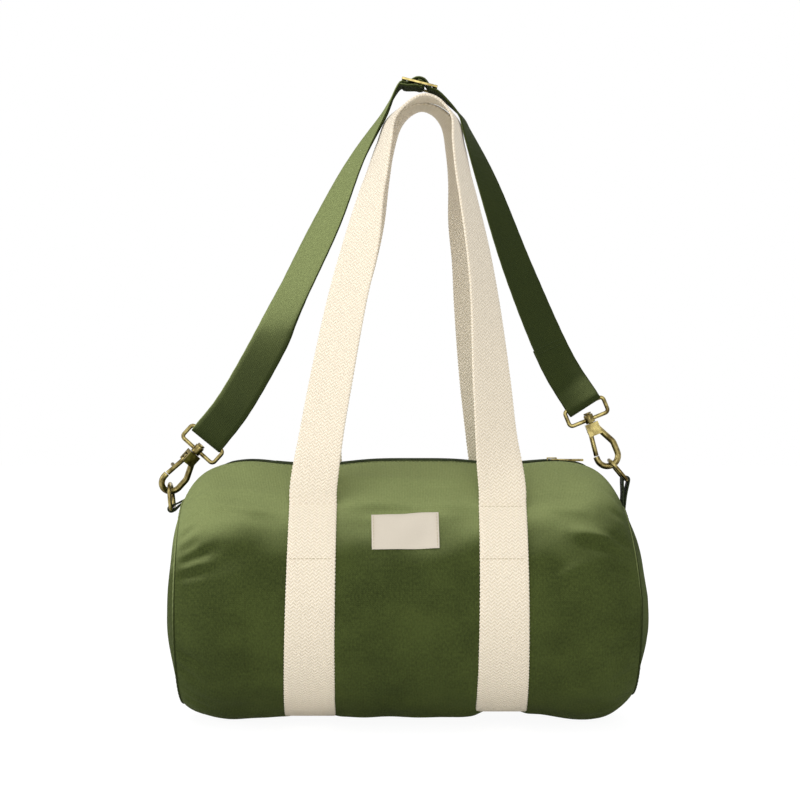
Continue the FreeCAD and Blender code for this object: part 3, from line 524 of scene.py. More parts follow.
def turned(angle_from_top, sign):
    """An angle round the bag, over the front for sign 1 and over the back for sign -1."""
    return angle_from_top if sign > 0 else math.tau - angle_from_top


def opens(piece):
    """Bake the transform of a piece of the mouth's quarter into its mesh."""
    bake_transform(piece)


class BAG_OT_canvas(bpy.types.Operator):
    """Build the canvas body, the lips of the mouth and the end panels"""
    bl_idname = "bag.canvas"
    bl_label = "Canvas"

    def execute(self, context):
        sizes = context.scene.bag_sizes
        low, high = turned(sizes.zip_edge, 1), turned(sizes.zip_edge, -1)
        spread = ((0, -sizes.seam), (0.2, -sizes.mouth), (0.8, sizes.mouth), (1, sizes.seam))
        wrap = ((0, low), (0.1, sizes.fold), (0.9, math.tau - sizes.fold), (1, high))
        body = cloth_sheet("canvas_body", 150, 200, spread, wrap)
        centres = np.empty(len(body.data.polygons) * 3)
        body.data.polygons.foreach_get("center", centres)
        x, y, z = centres.reshape(-1, 3).T
        down = np.abs(np.arctan2(y, z - sizes.axis))
        edit(body, (bpy.ops.mesh.select_all, {"action": "DESELECT"}),
             (bpy.ops.mesh.select_mode, {"type": "FACE"}))
        body.data.polygons.foreach_set("select", (np.abs(x) < sizes.mouth) & (down < sizes.fold))
        bpy.ops.object.mode_set(mode="EDIT")
        bpy.ops.mesh.delete(type="FACE")
        bpy.ops.mesh.select_mode(type="VERT")
        bpy.ops.object.mode_set(mode="OBJECT")
        thickened(body, sizes.cloth)
        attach(dressed(body, "Cotton canvas", "olive_canvas", "main_panel"), "bag")
        for side, sign, hand, way in halves():
            ends = sorted((0, way * sizes.mouth))
            turns = sorted((turned(sizes.zip_edge, sign), turned(sizes.fold, sign)))
            lip = cloth_sheet(f"lip_{side}_{hand}", 45, 20, ((0, ends[0]), (1, ends[1])),
                              ((0, turns[0]), (1, turns[1])))
            thickened(lip, sizes.cloth)
            dressed(lip, "Cotton canvas", "olive_canvas", f"lip_{side}")
            opens(lip)
        for side, way in HANDS:
            self.end_panel(side, way)
            self.binding(side, way)
        return {"FINISHED"}

    def end_panel(self, side, way):
        """A round of canvas that bulges from the end seam and is gathered into it."""
        sizes = chosen()[0]
        piece, u, v = grid(f"end_cloth_{side}", 144, 26)
        turn, share = u * math.tau, np.sqrt(v)
        rim = skin(np.full_like(turn, way * sizes.seam), turn)
        middle = np.array([way * sizes.seam, 0, sizes.axis])
        points = middle + (rim - middle) * share[:, None]
        waves = swell(points[:, 1], points[:, 2], END_PITCH, 8 + way)
        rise = sizes.bulge * (1 - share**2.6) + END_SWELL * (1 - share**6) * waves
        ripple = np.zeros_like(turn)
        chance = random.Random(20 + way)
        for start in range(0, 360, RIPPLE_STEP):
            gap = (np.degrees(turn) - start - chance.uniform(-3, 3) + 180) % 360 - 180
            reach = chance.uniform(0.55, 0.8)
            depth = chance.uniform(0.0005, 0.0016)
            ripple -= depth * hump(gap, RIPPLE_WIDTH) * eased((share - reach) / 0.25)
        points[:, 0] += way * (rise + ripple * eased((1 - share) / 0.06))
        lay(piece, points, points[:, 1], points[:, 2])
        edit(piece, (bpy.ops.mesh.remove_doubles, {"threshold": 1e-6}))
        if way > 0:
            edit(piece, (bpy.ops.mesh.flip_normals, {}))
        thickened(piece, sizes.cloth)
        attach(dressed(piece, "Cotton canvas", "olive_canvas", f"end_panel_{side}"), "bag")

    def binding(self, side, way):
        """The bound end seam: a thin roll of canvas round the rim."""
        sizes = chosen()[0]
        piece, u, v = grid(f"seam_roll_{side}", 260, 10)
        turn, section = u * math.tau, v * math.tau
        rim = skin(np.full_like(turn, way * sizes.seam), turn)
        out = rim - np.array([way * sizes.seam, 0, sizes.axis])
        out[:, 0] = 0
        out /= np.linalg.norm(out, axis=1)[:, None]
        roll = sizes.binding * (1 + 0.12 * np.sin(turn * 90))
        points = rim + out * (roll * np.cos(section))[:, None]
        points[:, 0] += roll * np.sin(section)
        lay(piece, points, turn * sizes.radius, section * sizes.binding)
        edit(piece, (bpy.ops.mesh.remove_doubles, {"threshold": 1e-6}),
             (bpy.ops.mesh.normals_make_consistent, {"inside": False}))
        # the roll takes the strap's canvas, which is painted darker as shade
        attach(dressed(piece, "Strap canvas", "olive_canvas", f"seam_binding_{side}"), "bag")


def zip_level(x, turn):
    """Zip tape against the canvas: straight under the slider's way, and up with the lips at its edges."""
    sizes = chosen()[0]
    down = np.degrees(np.minimum(turn, math.tau - turn))
    return -sizes.zip_drop - crown(x) * eased((TAPE_FOLLOWS - down) / TAPE_EASE)


class BAG_OT_zip(bpy.types.Operator):
    """Build the zip's tapes and teeth and the hem stitches beside them"""
    bl_idname = "bag.zip"
    bl_label = "Zip"

    def execute(self, context):
        for side, sign, hand, way in halves():
            self.quarter(side, sign, hand, way)
        for hand, way in HANDS:
            self.end_band(hand, way)
        return {"FINISHED"}

    def quarter(self, side, sign, hand, way):
        """Tape, teeth, hem and welt of one quarter of the mouth."""
        sizes = chosen()[0]
        ends = sorted((0, way * sizes.mouth))
        turns = sorted(turned(edge, sign) for edge in TAPE_EDGES)
        tape = cloth_sheet(f"zip_tape_{side}_{hand}", 40, 12, ((0, ends[0]), (1, ends[1])),
                           ((0, turns[0]), (1, turns[1])), zip_level)
        thickened(tape, TAPE)
        opens(dressed(tape, "Zip tape", "dark_tape", f"zip_tape_{side}"))
        teeth = self.teeth(f"zip_teeth_{side}_{hand}", sign, way)
        opens(dressed(teeth, "Zip brass", "zip_brass", f"zip_teeth_{side}"))
        x = np.linspace(ends[0], ends[1], 30)
        turn = np.full_like(x, turned(sizes.zip_edge + HEM, sign))
        hem = stitches(f"zip_hem_{side}_{hand}", skin(x, turn), skin_normal(x, turn), "hem",
                       "Green thread", "olive_canvas")
        opens(hem)
        turn = np.full_like(x, turned(sizes.zip_edge, sign))
        # the welts: dark tape rolled over the lip edges, whose dark line along the top is partly tape and
        # partly painted shade between the lips
        points, across, run = smooth_path(skin(x, turn, 0.0004), [ACROSS_BAG] * len(x), 0.0025)
        welt = band(f"zip_welt_{side}_{hand}", points, across, run, WELT_WIDTH, WELT_THICKNESS, columns=2)
        opens(dressed(welt, "Zip tape", "dark_tape"))

    def end_band(self, hand, way):
        """The band over a shoulder, with a trough at the zip's end that the slider runs into."""
        sizes = chosen()[0]
        ends = sorted((way * sizes.mouth, way * (sizes.seam - 0.0005)))
        edge = sizes.zip_edge + 0.03
        piece, u, v = grid(f"zip_band_{hand}", 60, 24)
        x, turn = np.interp(u, (0, 1), ends), np.interp(v, (0, 1), (-edge, edge))
        out = np.abs(x)
        trough = eased((TROUGH_END - out) / 0.010) * eased((TROUGH_EDGE - np.abs(turn)) / 0.030)
        trough = trough * eased((out - sizes.mouth + 0.0015) / 0.005)
        lift = BAND_SUNK + BAND_RAISED * eased((BAND_BEND - out) / 0.012)
        points = skin(x, np.abs(turn), lift - TROUGH * trough)
        points[:, 1] *= np.sign(turn)
        lay(piece, points, x, turn * sizes.radius)
        edit(piece, (bpy.ops.mesh.flip_normals, {}))
        thickened(piece, TAPE)
        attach(dressed(piece, "Zip tape", "dark_tape", f"zip_end_{hand}"), "bag")

    def teeth(self, name, sign, way):
        """A row of teeth from the middle of the mouth to one end."""
        sizes = chosen()[0]
        bpy.ops.object.select_all(action="DESELECT")
        bpy.ops.mesh.primitive_cube_add(size=1)
        piece = bpy.context.object
        piece.name = piece.data.name = name
        start = way * sizes.tooth_pitch * (0.25 if sign * way > 0 else 0.75)
        top = sizes.axis + sizes.radius - sizes.zip_drop + 0.0008
        edit(piece, (bpy.ops.transform.resize, {"value": TOOTH}),
             (bpy.ops.transform.translate, {"value": (start, -sign * 0.0014, top)}))
        modified(piece, "BEVEL", width=0.0004, segments=2)
        count = int((sizes.mouth - abs(start) - 0.001) / sizes.tooth_pitch) + 1
        modified(piece, "ARRAY", count=count, use_relative_offset=False, use_constant_offset=True,
                 constant_offset_displace=(way * sizes.tooth_pitch, 0, 0))
        return piece


class BAG_OT_webbing(bpy.types.Operator):
    """Build the webbing under the bag, the two handles that it runs on into, and their stitches"""
    bl_idname = "bag.webbing"
    bl_label = "Webbing"

    def execute(self, context):
        bands = context.scene.bag_bands
        turn = np.linspace(bands.stitch, math.tau - bands.stitch, 90)
        for side, way in HANDS:
            middle = way * bands.spread
            path = skin(np.full_like(turn, middle), turn, WEB_GAP + bands.thickness / 2)
            first, last = self.foot(middle, 1), self.foot(middle, -1)
            path = np.concatenate([[first], path[2:-2], [last]])
            points, across, run = smooth_path(path, [(1, 0, 0)] * len(path), 0.0012)
            low = eased(1 - np.abs(run / run[-1] * 2 - 1))
            points[:, 0] += (way - 1) * WEB_DRIFT * low
            piece = band(f"web_{side}", points, across, run, bands.width, bands.thickness, SELVEDGE,
                         stretch=bands.pinch + (WEB_SPREAD - bands.pinch) * low)
            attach(dressed(piece, "Cotton webbing", "webbing", f"webbing_{side}"), "bag")
        for side, sign in SIDES:
            self.handle(side, sign)
            for hand, way in HANDS:
                self.cross_stitches(side, sign, hand, way)
        return {"FINISHED"}

    def foot(self, middle, sign):
        """Where a handle leaves the bag: the middle of the webbing at its cross stitch."""
        sizes, bands, _ = chosen()
        reach = sizes.radius + WEB_GAP + bands.thickness / 2
        out, up = reach * math.sin(bands.stitch), reach * math.cos(bands.stitch)
        return np.array([middle, -sign * out, sizes.axis + up])

    def handle(self, side, sign):
        """A loop that turns edge-on at its top, where the two handles lean together."""
        bands = chosen()[1]
        foot = Vector(self.foot(0, sign))
        peak = Vector((0, -sign * (bands.width + 0.001) / 2, bands.top))
        shares = HANDLE_SHARES[side]
        route = [foot.lerp(peak, up) + Vector((share * bands.spread, 0, 0)) for share, up, _ in shares]
        twists = [(twist, 0, 0) for _, _, twist in shares]
        rise = (peak - foot).normalized()
        for place in (1, -1):
            foot_end = route[0 if place > 0 else -1]
            route.insert(place, foot_end + rise * HANDLE_LEAD)
            twists.insert(place, (0.02, 0, 0))
        points, twist, run = smooth_path(route, twists, 0.0012)
        along = np.gradient(points, axis=0)
        along /= np.linalg.norm(along, axis=1)[:, None]
        near = np.array([0, -sign, 0]) - along * (along[:, 1:2] * -sign)
        near /= np.linalg.norm(near, axis=1)[:, None]
        inward = np.cross(along, near) * sign
        quarter = np.clip(twist[:, :1], 0, 1) * math.pi / 2
        stretch = bands.pinch + (1 - bands.pinch) * eased((points[:, 2] - bands.top + LOOP_TOP) / LOOP_EASE)
        piece = band(f"web_handle_{side}", points, inward * np.cos(quarter) + near * np.sin(quarter), run,
                     bands.width, bands.thickness, SELVEDGE, stretch=stretch)
        dressed(piece, "Cotton webbing", "webbing", f"handle_{side}")
        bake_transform(piece)

    def cross_stitches(self, side, sign, hand, way):
        """The seam across the webbing where the handle leaves the bag, and a second one lower down."""
        bands = chosen()[1]
        x = np.linspace(-1, 1, 20) * (bands.width / 2 - 0.002) + way * bands.spread
        for number, degrees in enumerate(CROSS_STITCHES):
            turn = np.full_like(x, turned(bands.stitch + math.radians(degrees), sign))
            points = skin(np.full_like(x, way * bands.spread), turn, WEB_GAP + bands.thickness)
            points[:, 0] = x
            seam = stitches(f"web_stitch_{side}_{hand}_{number}", points, skin_normal(x, turn),
                            "webbing", "Cream thread", "webbing")
            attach(seam, "bag")


class BAG_OT_label(bpy.types.Operator):
    """Build the bare label sewn on the front"""
    bl_idname = "bag.label"
    bl_label = "Label"

    def execute(self, context):
        piece, u, v = grid("label_cloth", 52, 28)
        a, b = (u - 0.5) * LABEL_WIDTH, (v - 0.5) * LABEL_HEIGHT
        x, turn = self.place(a, b)
        curl = 0.0005 * swell(a, b, 0.03, 5) + 0.0004
        lay(piece, skin(x, turn, 0.0007) + skin_normal(x, turn) * np.maximum(curl, 0)[:, None], a, b)
        edit(piece, (bpy.ops.mesh.flip_normals, {}))
        thickened(piece, LABEL_CLOTH)
        modified(piece, "BEVEL", width=0.0002, segments=2)
        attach(dressed(piece, "Label cotton", "label_cloth", "front_label"), "bag")
        for hand, way in HANDS:
            b = np.linspace(-1, 1, 16) * (LABEL_HEIGHT / 2 - 0.0012)
            a = np.full_like(b, way * (LABEL_WIDTH / 2 - 0.0016))
            x, turn = self.place(a, b)
            seam = stitches(f"label_stitch_{hand}", skin(x, turn, 0.0013), skin_normal(x, turn),
                            "label", "Cream thread", "label_cloth")
            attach(seam, "bag")
        return {"FINISHED"}

    def place(self, a, b):
        """Place along the bag and angle from the top of points on the label."""
        x = LABEL_MIDDLE + a * math.cos(LABEL_TILT) + b * math.sin(LABEL_TILT)
        down = b * math.cos(LABEL_TILT) - a * math.sin(LABEL_TILT)
        return x, LABEL_ANGLE + down / chosen()[0].radius


class BAG_OT_strap(bpy.types.Operator):
    """Build the shoulder strap: round the left eye, over the adjuster at its crest and round the right eye"""
    bl_idname = "bag.strap"
    bl_label = "Shoulder strap"

    def execute(self, context):
        bands = context.scene.bag_bands
        layer, turn = (bands.strap_thickness + 0.0002) / 2, bands.strap_thickness / 2 + EYE_BAR
        left, right = self.leg(EYES["left"], LEFT_LEG), self.leg(EYES["right"], RIGHT_LEG)
        flat = Vector((math.sin(CREST_LEAN), 0, math.cos(CREST_LEAN)))
        over = flat.cross(ACROSS_BAG)

        def at_crest(*places):
            """Stations through the adjuster: places along it and above it."""
            return [(CREST + flat * along + over * lift, ACROSS_BAG) for along, lift in places]

        def layered(samples, offset, slip=0.0):
            """Stations of one layer of a leg, off its middle; it can slip sideways towards the crest."""
            shares = eased(np.linspace(-0.6, 1.6, len(samples)))
            return [(point + facing * offset + across * slip * share, across)
                    for (point, _, facing, across), share in zip(samples, shares)]

        def round_eye(sample, sense):
            """Stations of the half turn round an eye's bar."""
            point, along, facing, across = sample
            return [(point + (facing * math.cos(step * math.pi / 8) + along * math.sin(step * math.pi / 8))
                     * turn * sense, across) for step in range(9)]

        near = ADJUSTER_BAR + bands.strap_thickness / 2 + LAYER_GAP
        far = near + bands.strap_thickness + LAYER_GAP
        half = (layer + turn) / 2
        stations = at_crest((-0.002, near), (0.002, near), (0.0035, 0), (0.002, -near), (-0.002, -near),
                            (-0.011, -far), (-0.015, -far))
        stations += layered(left[2:], -layer, LAYER_SLIP)[::-1] + layered(left[1:2], -half)
        stations += round_eye(left[0], -1) + layered(left[1:2], half) + layered(left[2:], layer)
        stations += at_crest((-0.015, -near), (-0.011, -near), (-0.003, far), (0.003, far),
                             (0.011, -near), (0.015, -near))
        stations += layered(right[:-2], layer) + layered(right[-2:-1], half) + round_eye(right[-1], 1)
        stations += layered(right[-2:-1], -half) + layered(right[-3:-8:-1], -layer)
        points, across, run = smooth_path([row[0] for row in stations], [row[1] for row in stations], 0.0022)
        strap = band("strap_cloth", points, across, run, bands.strap_width, bands.strap_thickness,
                     STRAP_SELVEDGE, 0.013)
        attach(dressed(strap, "Strap canvas", "olive_canvas", "shoulder_strap"), "strap")
        point, along, facing, across = right[-7]
        for number, lift in enumerate((0.0, 0.004)):
            start = point + along * lift + facing * (layer * 2 + 0.0001)
            ends = [start + across * (share * 0.0135) for share in (-1, -0.5, 0, 0.5, 1)]
            seam = stitches(f"strap_stitch_{number}", ends, [facing] * len(ends), "strap",
                            "Green thread", "olive_canvas")
            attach(seam, "strap")
        return {"FINISHED"}

    def leg(self, eye, shares):
        """Samples of one leg: point, direction, outer face and width direction."""
        route = [Vector((CREST.x + (eye.x - CREST.x) * across, eye.y * across,
                         eye.z + (CREST.z - eye.z) * rise)) for across, rise, _ in shares]
        points, twist, _ = smooth_path(route, [(row[2], 0, 0) for row in shares], 0.009)
        samples = []
        for number, point in enumerate(points):
            ahead, behind = points[min(number + 1, len(points) - 1)], points[max(number - 1, 0)]
            along = Vector(ahead - behind).normalized()
            outward = (-ACROSS_BAG).cross(along).normalized()
            quarter = twist[number, 0] * math.pi / 2
            facing = outward * math.cos(quarter) + along.cross(outward) * math.sin(quarter)
            samples.append((Vector(point), along, facing, facing.cross(along)))
        return samples


class BAG_OT_hardware(bpy.types.Operator):
    """Build the ring tabs and finish the metal of the rings, hooks, adjuster and slider"""
    bl_idname = "bag.hardware"
    bl_label = "Tabs and metal"

    def execute(self, context):
        bands = context.scene.bag_bands
        for side, (bar, tail) in TABS.items():
            away = (bar - tail).normalized()
            beside = away.cross(ACROSS_BAG)
            wrap = RING_BAR + bands.tab_thickness / 2
            path = [tail + beside * 0.0008, tail.lerp(bar, 0.5) + beside * 0.0012]
            path += [bar + beside * wrap * math.cos(turn) + away * wrap * math.sin(turn)
                     for turn in np.linspace(0.1, math.pi - 0.1, 9)]
            path += [tail.lerp(bar, 0.5) - beside * 0.0012, tail - beside * 0.0008]
            points, across, run = smooth_path(path, [ACROSS_BAG] * len(path), 0.0012)
            tab = band(f"tab_{side}", points, across, run, bands.tab_width, bands.tab_thickness, 0.01)
            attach(dressed(tab, "Dark tape", "dark_tape", f"ring_tab_{side}"), "bag")
            for kind in ("d_ring", "hook_eye", "hook_body", "swivel_rivet", "gate", "gate_pin"):
                self.finish(f"{kind}_{side}", "Antique brass")
            self.finish(f"gate_spring_{side}", "Dark steel")
        for node in ("strap_adjuster", "zip_slider", "zip_pull"):
            self.finish(node, "Antique brass")
        return {"FINISHED"}

    def finish(self, node, material):
        """Metal of a CAD node: its material and softly broken edges."""
        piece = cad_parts[node]
        piece.data.materials.clear()
        piece.data.materials.append(bpy.data.materials[material])
        weld = piece.modifiers.new("Weld", "WELD")
        weld.merge_threshold = 1e-6
        bevel = piece.modifiers.new("Bevel", "BEVEL")
        bevel.width, bevel.segments, bevel.limit_method = METAL_EDGE, 2, "ANGLE"
        bevel.angle_limit = math.radians(35)
        bevel.harden_normals = True


# Materials
def plug(tree, item, inputs):
    """Set a node's inputs; each is a value or another node's output."""
    for key, value in inputs.items():
        if isinstance(value, bpy.types.NodeSocket):
            tree.links.new(value, item.inputs[key])
        else:
            item.inputs[key].default_value = value


def add(tree, kind, inputs=None, **settings):
    """A new shader node with its settings and inputs."""
    item = tree.nodes.new("ShaderNode" + kind)
    for key, value in settings.items():
        setattr(item, key, value)
    plug(tree, item, inputs or {})
    return item


def surface(name):
    """A new material with its node tree and its surface shader."""
    material = bpy.data.materials.new(name)
    material.use_nodes = True
    return material.node_tree, material.node_tree.nodes["Principled BSDF"]


def worked(tree, operation, *values):
    """The result of one step of arithmetic."""
    return add(tree, "Math", dict(enumerate(values)), operation=operation).outputs[0]


def ranged(tree, value, low, high, top=1.0, **settings):
    """A value's way from low to high as 0 to the top."""
    inputs = {"Value": value, "From Min": low, "From Max": high, "To Max": top}
    return add(tree, "MapRange", inputs, **settings).outputs[0]


def blended(tree, share, first, second):
    """A colour between two, clamped."""
    inputs = {"Fac": share, "Color1": first, "Color2": second}
    return add(tree, "MixRGB", inputs, use_clamp=True).outputs["Color"]


def noise(tree, place, size, **inputs):
    """Noise whose blots are about one size in metres."""
    return add(tree, "TexNoise", {"Vector": place, "Scale": 1 / size, **inputs}).outputs["Fac"]


def threads(tree, place, pitch, direction):
    """Ridges of threads one pitch apart; a wave texture of scale 1 runs through 20 radians in a metre."""
    inputs = {"Vector": place, "Scale": math.tau / 20 / pitch, "Distortion": 0.4, "Detail": 1.0}
    return add(tree, "TexWave", inputs, bands_direction=direction).outputs["Fac"]


def paler(tone, times):
    """A colour made lighter, channel by channel."""
    return [min(1, times * channel) for channel in tone[:3]] + [1.0]


def woven(name, low, high, thread, relief, patch, rough=0.9, sheen=0.25, lit_tone=None,
          light=(-0.5, 0.0, 0.87), rise=(0.12, 0.2)):
    """Plain-woven cloth: two sets of threads, with paler worn threads in patches, and painted light that
    pales its upper side and the side towards the key light.
    """
    tree, shader = surface(name)
    place = add(tree, "TexCoord").outputs
    weave = worked(tree, "MULTIPLY", threads(tree, place["UV"], thread, "X"),
                   threads(tree, place["UV"], thread * 1.15, "Y"))
    # thick places in the yarn, drawn out along it
    drawn = add(tree, "VectorMath", {0: place["UV"], 1: (1.0, 0.6, 1.0)}, operation="MULTIPLY")
    slub = add(tree, "TexNoise", {"Vector": drawn.outputs["Vector"], "Scale": 0.9 / thread, "Detail": 4.0})
    slub = slub.outputs["Fac"]
    worn = noise(tree, place["Object"], patch, Detail=5.0, Roughness=0.6)
    pale, streak = ranged(tree, worn, 0.38, 0.68, 0.6), ranged(tree, slub, 0.34, 0.68, 0.6)
    share = worked(tree, "MULTIPLY_ADD", weave, 0.15, worked(tree, "ADD", streak, pale))
    tone = blended(tree, share, low, high)
    if lit_tone:
        # painted light: the side towards the key light and the upper part are painted paler, most of all on
        # raised threads
        facing = add(tree, "VectorMath", {0: place["Normal"], 1: light}, operation="DOT_PRODUCT")
        spot = add(tree, "SeparateXYZ", {"Vector": place["Object"]})
        towards_light = worked(tree, "ADD", facing.outputs["Value"], ranged(tree, spot.outputs["Z"], *rise))
        lit = ranged(tree, towards_light, 0.52, 1.36, interpolation_type="SMOOTHSTEP")
        lit_threads = worked(tree, "MULTIPLY_ADD", worked(tree, "ADD", streak, weave), 0.28, 0.66)
        tone = blended(tree, worked(tree, "MULTIPLY", lit, lit_threads), tone, lit_tone)
    height = worked(tree, "MULTIPLY_ADD", slub, 0.6, weave)
    bump = add(tree, "Bump", {"Height": height, "Distance": relief, "Strength": 0.6})
    plug(tree, shader, {"Base Color": tone, "Roughness": rough, "Normal": bump.outputs["Normal"],
                        "Sheen Weight": sheen, "Sheen Roughness": 0.4, "Sheen Tint": high,
                        "Specular IOR Level": 0.08})


def chevron(name, tone, yarn):
    """Cotton webbing woven in chevrons: thick slanting yarns, with painted shade in the small gaps between
    them.
    """
    tree, shader = surface(name)
    place = add(tree, "TexCoord").outputs["UV"]
    # the yarns wander by up to six tenths of their width
    fray = add(tree, "TexNoise", {"Vector": place, "Scale": 0.25 / yarn, "Detail": 2.0})
    shift = add(tree, "VectorMath", {0: fray.outputs["Color"], 1: (0.6 * yarn,) * 3}, operation="MULTIPLY")
    moved = add(tree, "VectorMath", {0: place, 1: shift.outputs["Vector"]}, operation="ADD")
    split = add(tree, "SeparateXYZ", {"Vector": moved.outputs["Vector"]})
    slant = worked(tree, "ADD", split.outputs["X"], worked(tree, "PINGPONG", split.outputs["Y"], 1.4 * yarn))
    cross = worked(tree, "SINE", worked(tree, "MULTIPLY", slant, math.tau / (1.6 * yarn)))
    slub = add(tree, "TexNoise", {"Vector": place, "Scale": 1.2 / yarn, "Detail": 3.0})
    height = worked(tree, "MULTIPLY_ADD", cross, 0.6, slub.outputs["Fac"])
    # painted shade: the low places between the yarns are painted darker
    gap_shade = [channel * shade for channel, shade in zip(tone, (0.84, 0.81, 0.74))] + [1.0]
    mixed = blended(tree, ranged(tree, height, -0.15, 0.75), gap_shade, list(tone))
    bump = add(tree, "Bump", {"Height": height, "Distance": 0.0005, "Strength": 0.7})
    plug(tree, shader, {"Base Color": mixed, "Roughness": 0.92, "Normal": bump.outputs["Normal"],
                        "Sheen Weight": 0.2, "Specular IOR Level": 0.15})


def metal(name, bright, dark, rough, patch):
    """Plated metal, dark where the patina has stayed and bright where hands have rubbed it; painted shade
    darkens it where it is seen edge-on.
    """
    tree, shader = surface(name)
    place = add(tree, "TexCoord").outputs["Object"]
    stay = ranged(tree, noise(tree, place, patch, Detail=4.0), 0.4, 0.66, 0.95)
    # painted shade: faces seen edge-on are painted towards the dark tone
    edge = add(tree, "LayerWeight", {"Blend": 0.35})
    share = worked(tree, "MULTIPLY_ADD", edge.outputs["Facing"], 0.55, stay)
    grain = add(tree, "TexNoise", {"Vector": place, "Scale": 900.0})
    bump = add(tree, "Bump", {"Height": grain.outputs["Fac"], "Distance": 0.00006, "Strength": 0.4})
    plug(tree, shader, {"Base Color": blended(tree, share, bright, dark), "Metallic": 1.0,
                        "Roughness": rough, "Normal": bump.outputs["Normal"]})


def plain(name, tone, rough):
    """An even, dull surface."""
    tree, shader = surface(name)
    plug(tree, shader, {"Base Color": tone, "Roughness": rough, "Specular IOR Level": 0.2})


class BAG_OT_materials(bpy.types.Operator):
    """Make the materials: canvas, webbing, tape, label, threads and metals"""
    bl_idname = "bag.materials"
    bl_label = "Materials"

    def execute(self, context):
        tones = context.scene.bag_colours
        # Heavy cotton canvas, dyed and softened by washing: a dull, deep olive that pales on worn threads;
        # painted light makes it paler on top and towards the key light. Its threads, about 0.6 mm apart, are
        # too fine to show and are drawn 1.3 mm apart.
        woven("Cotton canvas", tones.canvas, tones.canvas_worn, 0.0013, 0.0007, 0.055,
              lit_tone=tones.canvas_lit)
        # The same canvas folded and sewn as a strap: painted darker as shade, and painted paler as light only
        # on the side towards the key light.
        woven("Strap canvas", tones.strap, tones.canvas, 0.0013, 0.0007, 0.030, lit_tone=tones.canvas_lit,
              light=(-0.95, -0.46, 1.1), rise=(0.0, 2.0))
        # Unbleached cotton webbing: a soft cream with slanting yarns. They are about 1 mm wide and are drawn
        # 1.8 mm wide to show.
        chevron("Cotton webbing", tones.webbing, 0.0018)
        # Polyester tape of the zip: a smooth, almost black green. As welts it makes the dark line along the
        # top, partly tape and partly painted shade between the lips.
        woven("Zip tape", tones.tape, paler(tones.tape, 4), 0.0008, 0.00015, 0.02, 0.8, 0.1)
        # Grosgrain tape of the ring tabs: as dark, with coarser ribs and a faint shine.
        woven("Dark tape", tones.tape, paler(tones.tape, 3), 0.0012, 0.0003, 0.02, 0.7, 0.1)
        # Fine cotton tape of the label: pale grey-beige, nearly without texture.
        woven("Label cotton", tones.label, paler(tones.label, 1.06), 0.0007, 0.00012, 0.03)
        # Sewing threads: dull, one close to the canvas, and one darker than the webbing, partly its own tone
        # and partly painted shade along the stitch lines.
        plain("Cream thread", tones.thread, 0.8)
        plain("Green thread", tones.green_thread, 0.8)
        # Cast zinc with an antique brass plate: golden where it is rubbed, brown where the patina stays,
        # painted darker as shade where seen edge-on.
        metal("Antique brass", tones.brass, tones.patina, 0.3, 0.006)
        # Brass teeth with a dark patina, and spring steel: small glints in the dark. Both are painted darker
        # as shade where seen edge-on.
        metal("Zip brass", tones.patina, tones.tape, 0.4, 0.004)
        metal("Dark steel", tones.steel, tones.steel_dark, 0.35, 0.004)
        return {"FINISHED"}


def seen_rays(tree):
    """1 for rays that show the surround itself: to the camera, in metal and through cloth."""
    rays = add(tree, "LightPath").outputs
    direct = worked(tree, "MAXIMUM", rays["Is Camera Ray"], rays["Is Glossy Ray"])
    return worked(tree, "MAXIMUM", direct, rays["Is Transmission Ray"])


class StageSizes(bpy.types.PropertyGroup):
    distance: length("Distance", 1.58, "Camera from the bag's middle plane")
    across: length("Across", -0.0062, "Camera along the bag")
    height: length("Height", 0.2646, "Camera above the ground")
    field: length("Field", 0.6656, "Width of the picture at the bag's middle plane")
    key: bpy.props.FloatProperty(name="Key light", description="Power of the overhead softbox",
                                 default=8.4, unit="POWER")
    front: bpy.props.FloatProperty(name="Front light", description="Power of the front fill",
                                   default=10.4, unit="POWER")


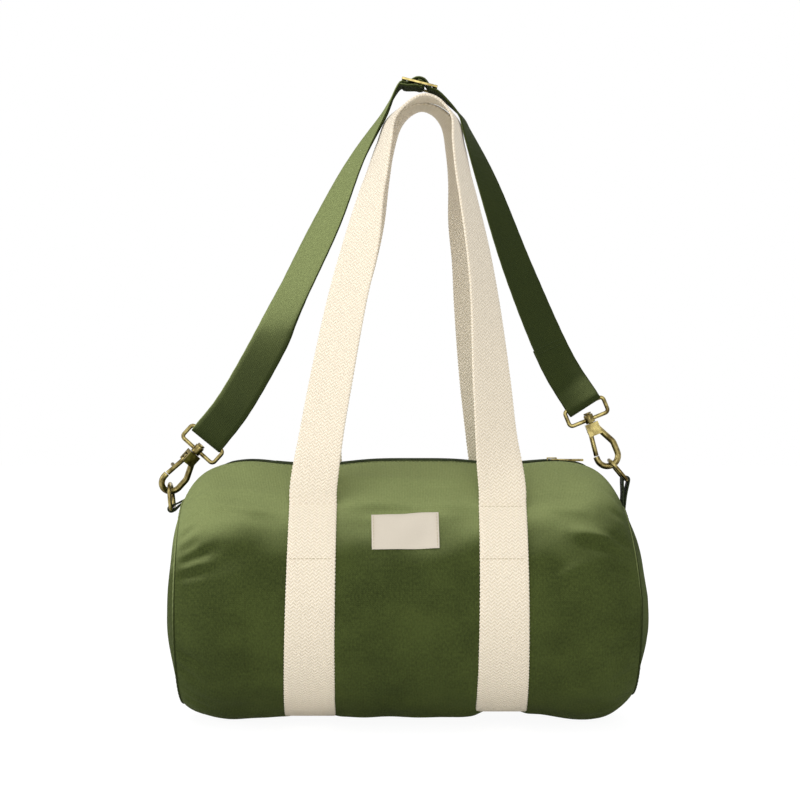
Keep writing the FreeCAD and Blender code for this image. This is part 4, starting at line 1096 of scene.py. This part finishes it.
class BAG_OT_stage(bpy.types.Operator):
    """Set the floor, the lights, the white surround and the camera"""
    bl_idname = "bag.stage"
    bl_label = "Stage"

    def execute(self, context):
        stage, tones = context.scene.bag_stage, context.scene.bag_colours
        bpy.ops.object.select_all(action="DESELECT")
        bpy.ops.mesh.primitive_plane_add(size=12)
        floor = context.object
        floor.name = "floor"
        tree, shader = surface("Studio floor")
        plug(tree, shader, {"Base Color": tones.floor, "Roughness": 0.9, "Specular IOR Level": 0.0})
        glow = add(tree, "Emission", {"Color": (1, 1, 1, 1), "Strength": 1.09})
        share = worked(tree, "MULTIPLY", seen_rays(tree), FLOOR_GLOW)
        both = add(tree, "MixShader", {0: share, 1: shader.outputs[0], 2: glow.outputs[0]})
        tree.links.new(both.outputs[0], tree.nodes["Material Output"].inputs["Surface"])
        floor.data.materials.append(bpy.data.materials["Studio floor"])
        powers = {"key": stage.key, "front": stage.front,
                  "side": stage.front * 0.9, "back": stage.front * 0.5}
        for name, place in LIGHTS.items():
            bpy.ops.object.light_add(type="AREA", location=place)
            light = context.object
            light.name = name
            light.data.shape, light.data.size, light.data.energy = "DISK", LIGHT_SIZE, powers[name]
            light.rotation_euler = (LIGHT_AIM - Vector(place)).to_track_quat("-Z", "Y").to_euler()
        world = context.scene.world or bpy.data.worlds.new("Studio")
        context.scene.world = world
        world.use_nodes = True
        tree = world.node_tree
        level = add(tree, "MapRange", {"Value": seen_rays(tree), "To Min": SURROUND, "To Max": 1.0})
        plug(tree, tree.nodes["Background"], {"Color": (1, 1, 1, 1), "Strength": level.outputs[0]})
        bpy.ops.object.camera_add(location=(stage.across, -stage.distance, stage.height),
                                  rotation=(math.pi / 2, 0, 0))
        camera = context.object
        camera.data.angle = 2 * math.atan(stage.field / 2 / stage.distance)
        camera.data.clip_start = 0.01
        context.scene.camera = camera
        context.scene.view_settings.view_transform = "Standard"
        return {"FINISHED"}


class BAG_PT_panel(bpy.types.Panel):
    """The bag's pieces and their settings"""
    bl_idname = "BAG_PT_panel"
    bl_label = "Barrel bag"
    bl_space_type = "VIEW_3D"
    bl_region_type = "UI"
    bl_category = "Bag"

    def draw(self, context):
        for operator in OPERATORS:
            self.layout.operator(operator.bl_idname)
        for name, group in GROUPS.items():
            box = self.layout.box()
            for key in group.__annotations__:
                box.prop(getattr(context.scene, name), key)


OPERATORS = (BAG_OT_materials, BAG_OT_canvas, BAG_OT_zip, BAG_OT_webbing, BAG_OT_label, BAG_OT_strap,
             BAG_OT_hardware, BAG_OT_stage)
GROUPS = {"bag_sizes": BagSizes, "bag_bands": BandSizes, "bag_colours": BagColours, "bag_stage": StageSizes}


def register():
    for item in (*GROUPS.values(), *OPERATORS, BAG_PT_panel):
        bpy.utils.register_class(item)
    for name, group in GROUPS.items():
        setattr(bpy.types.Scene, name, bpy.props.PointerProperty(type=group))


def unregister():
    for name in GROUPS:
        delattr(bpy.types.Scene, name)
    for item in (BAG_PT_panel, *reversed(OPERATORS), *GROUPS.values()):
        bpy.utils.unregister_class(item)


def main():
    register()
    bpy.ops.bag.materials()
    bpy.ops.bag.canvas()
    bpy.ops.bag.zip()
    bpy.ops.bag.webbing()
    bpy.ops.bag.label()
    bpy.ops.bag.strap()
    bpy.ops.bag.hardware()
    bpy.ops.bag.stage()


if __name__ == "__main__":
    main()
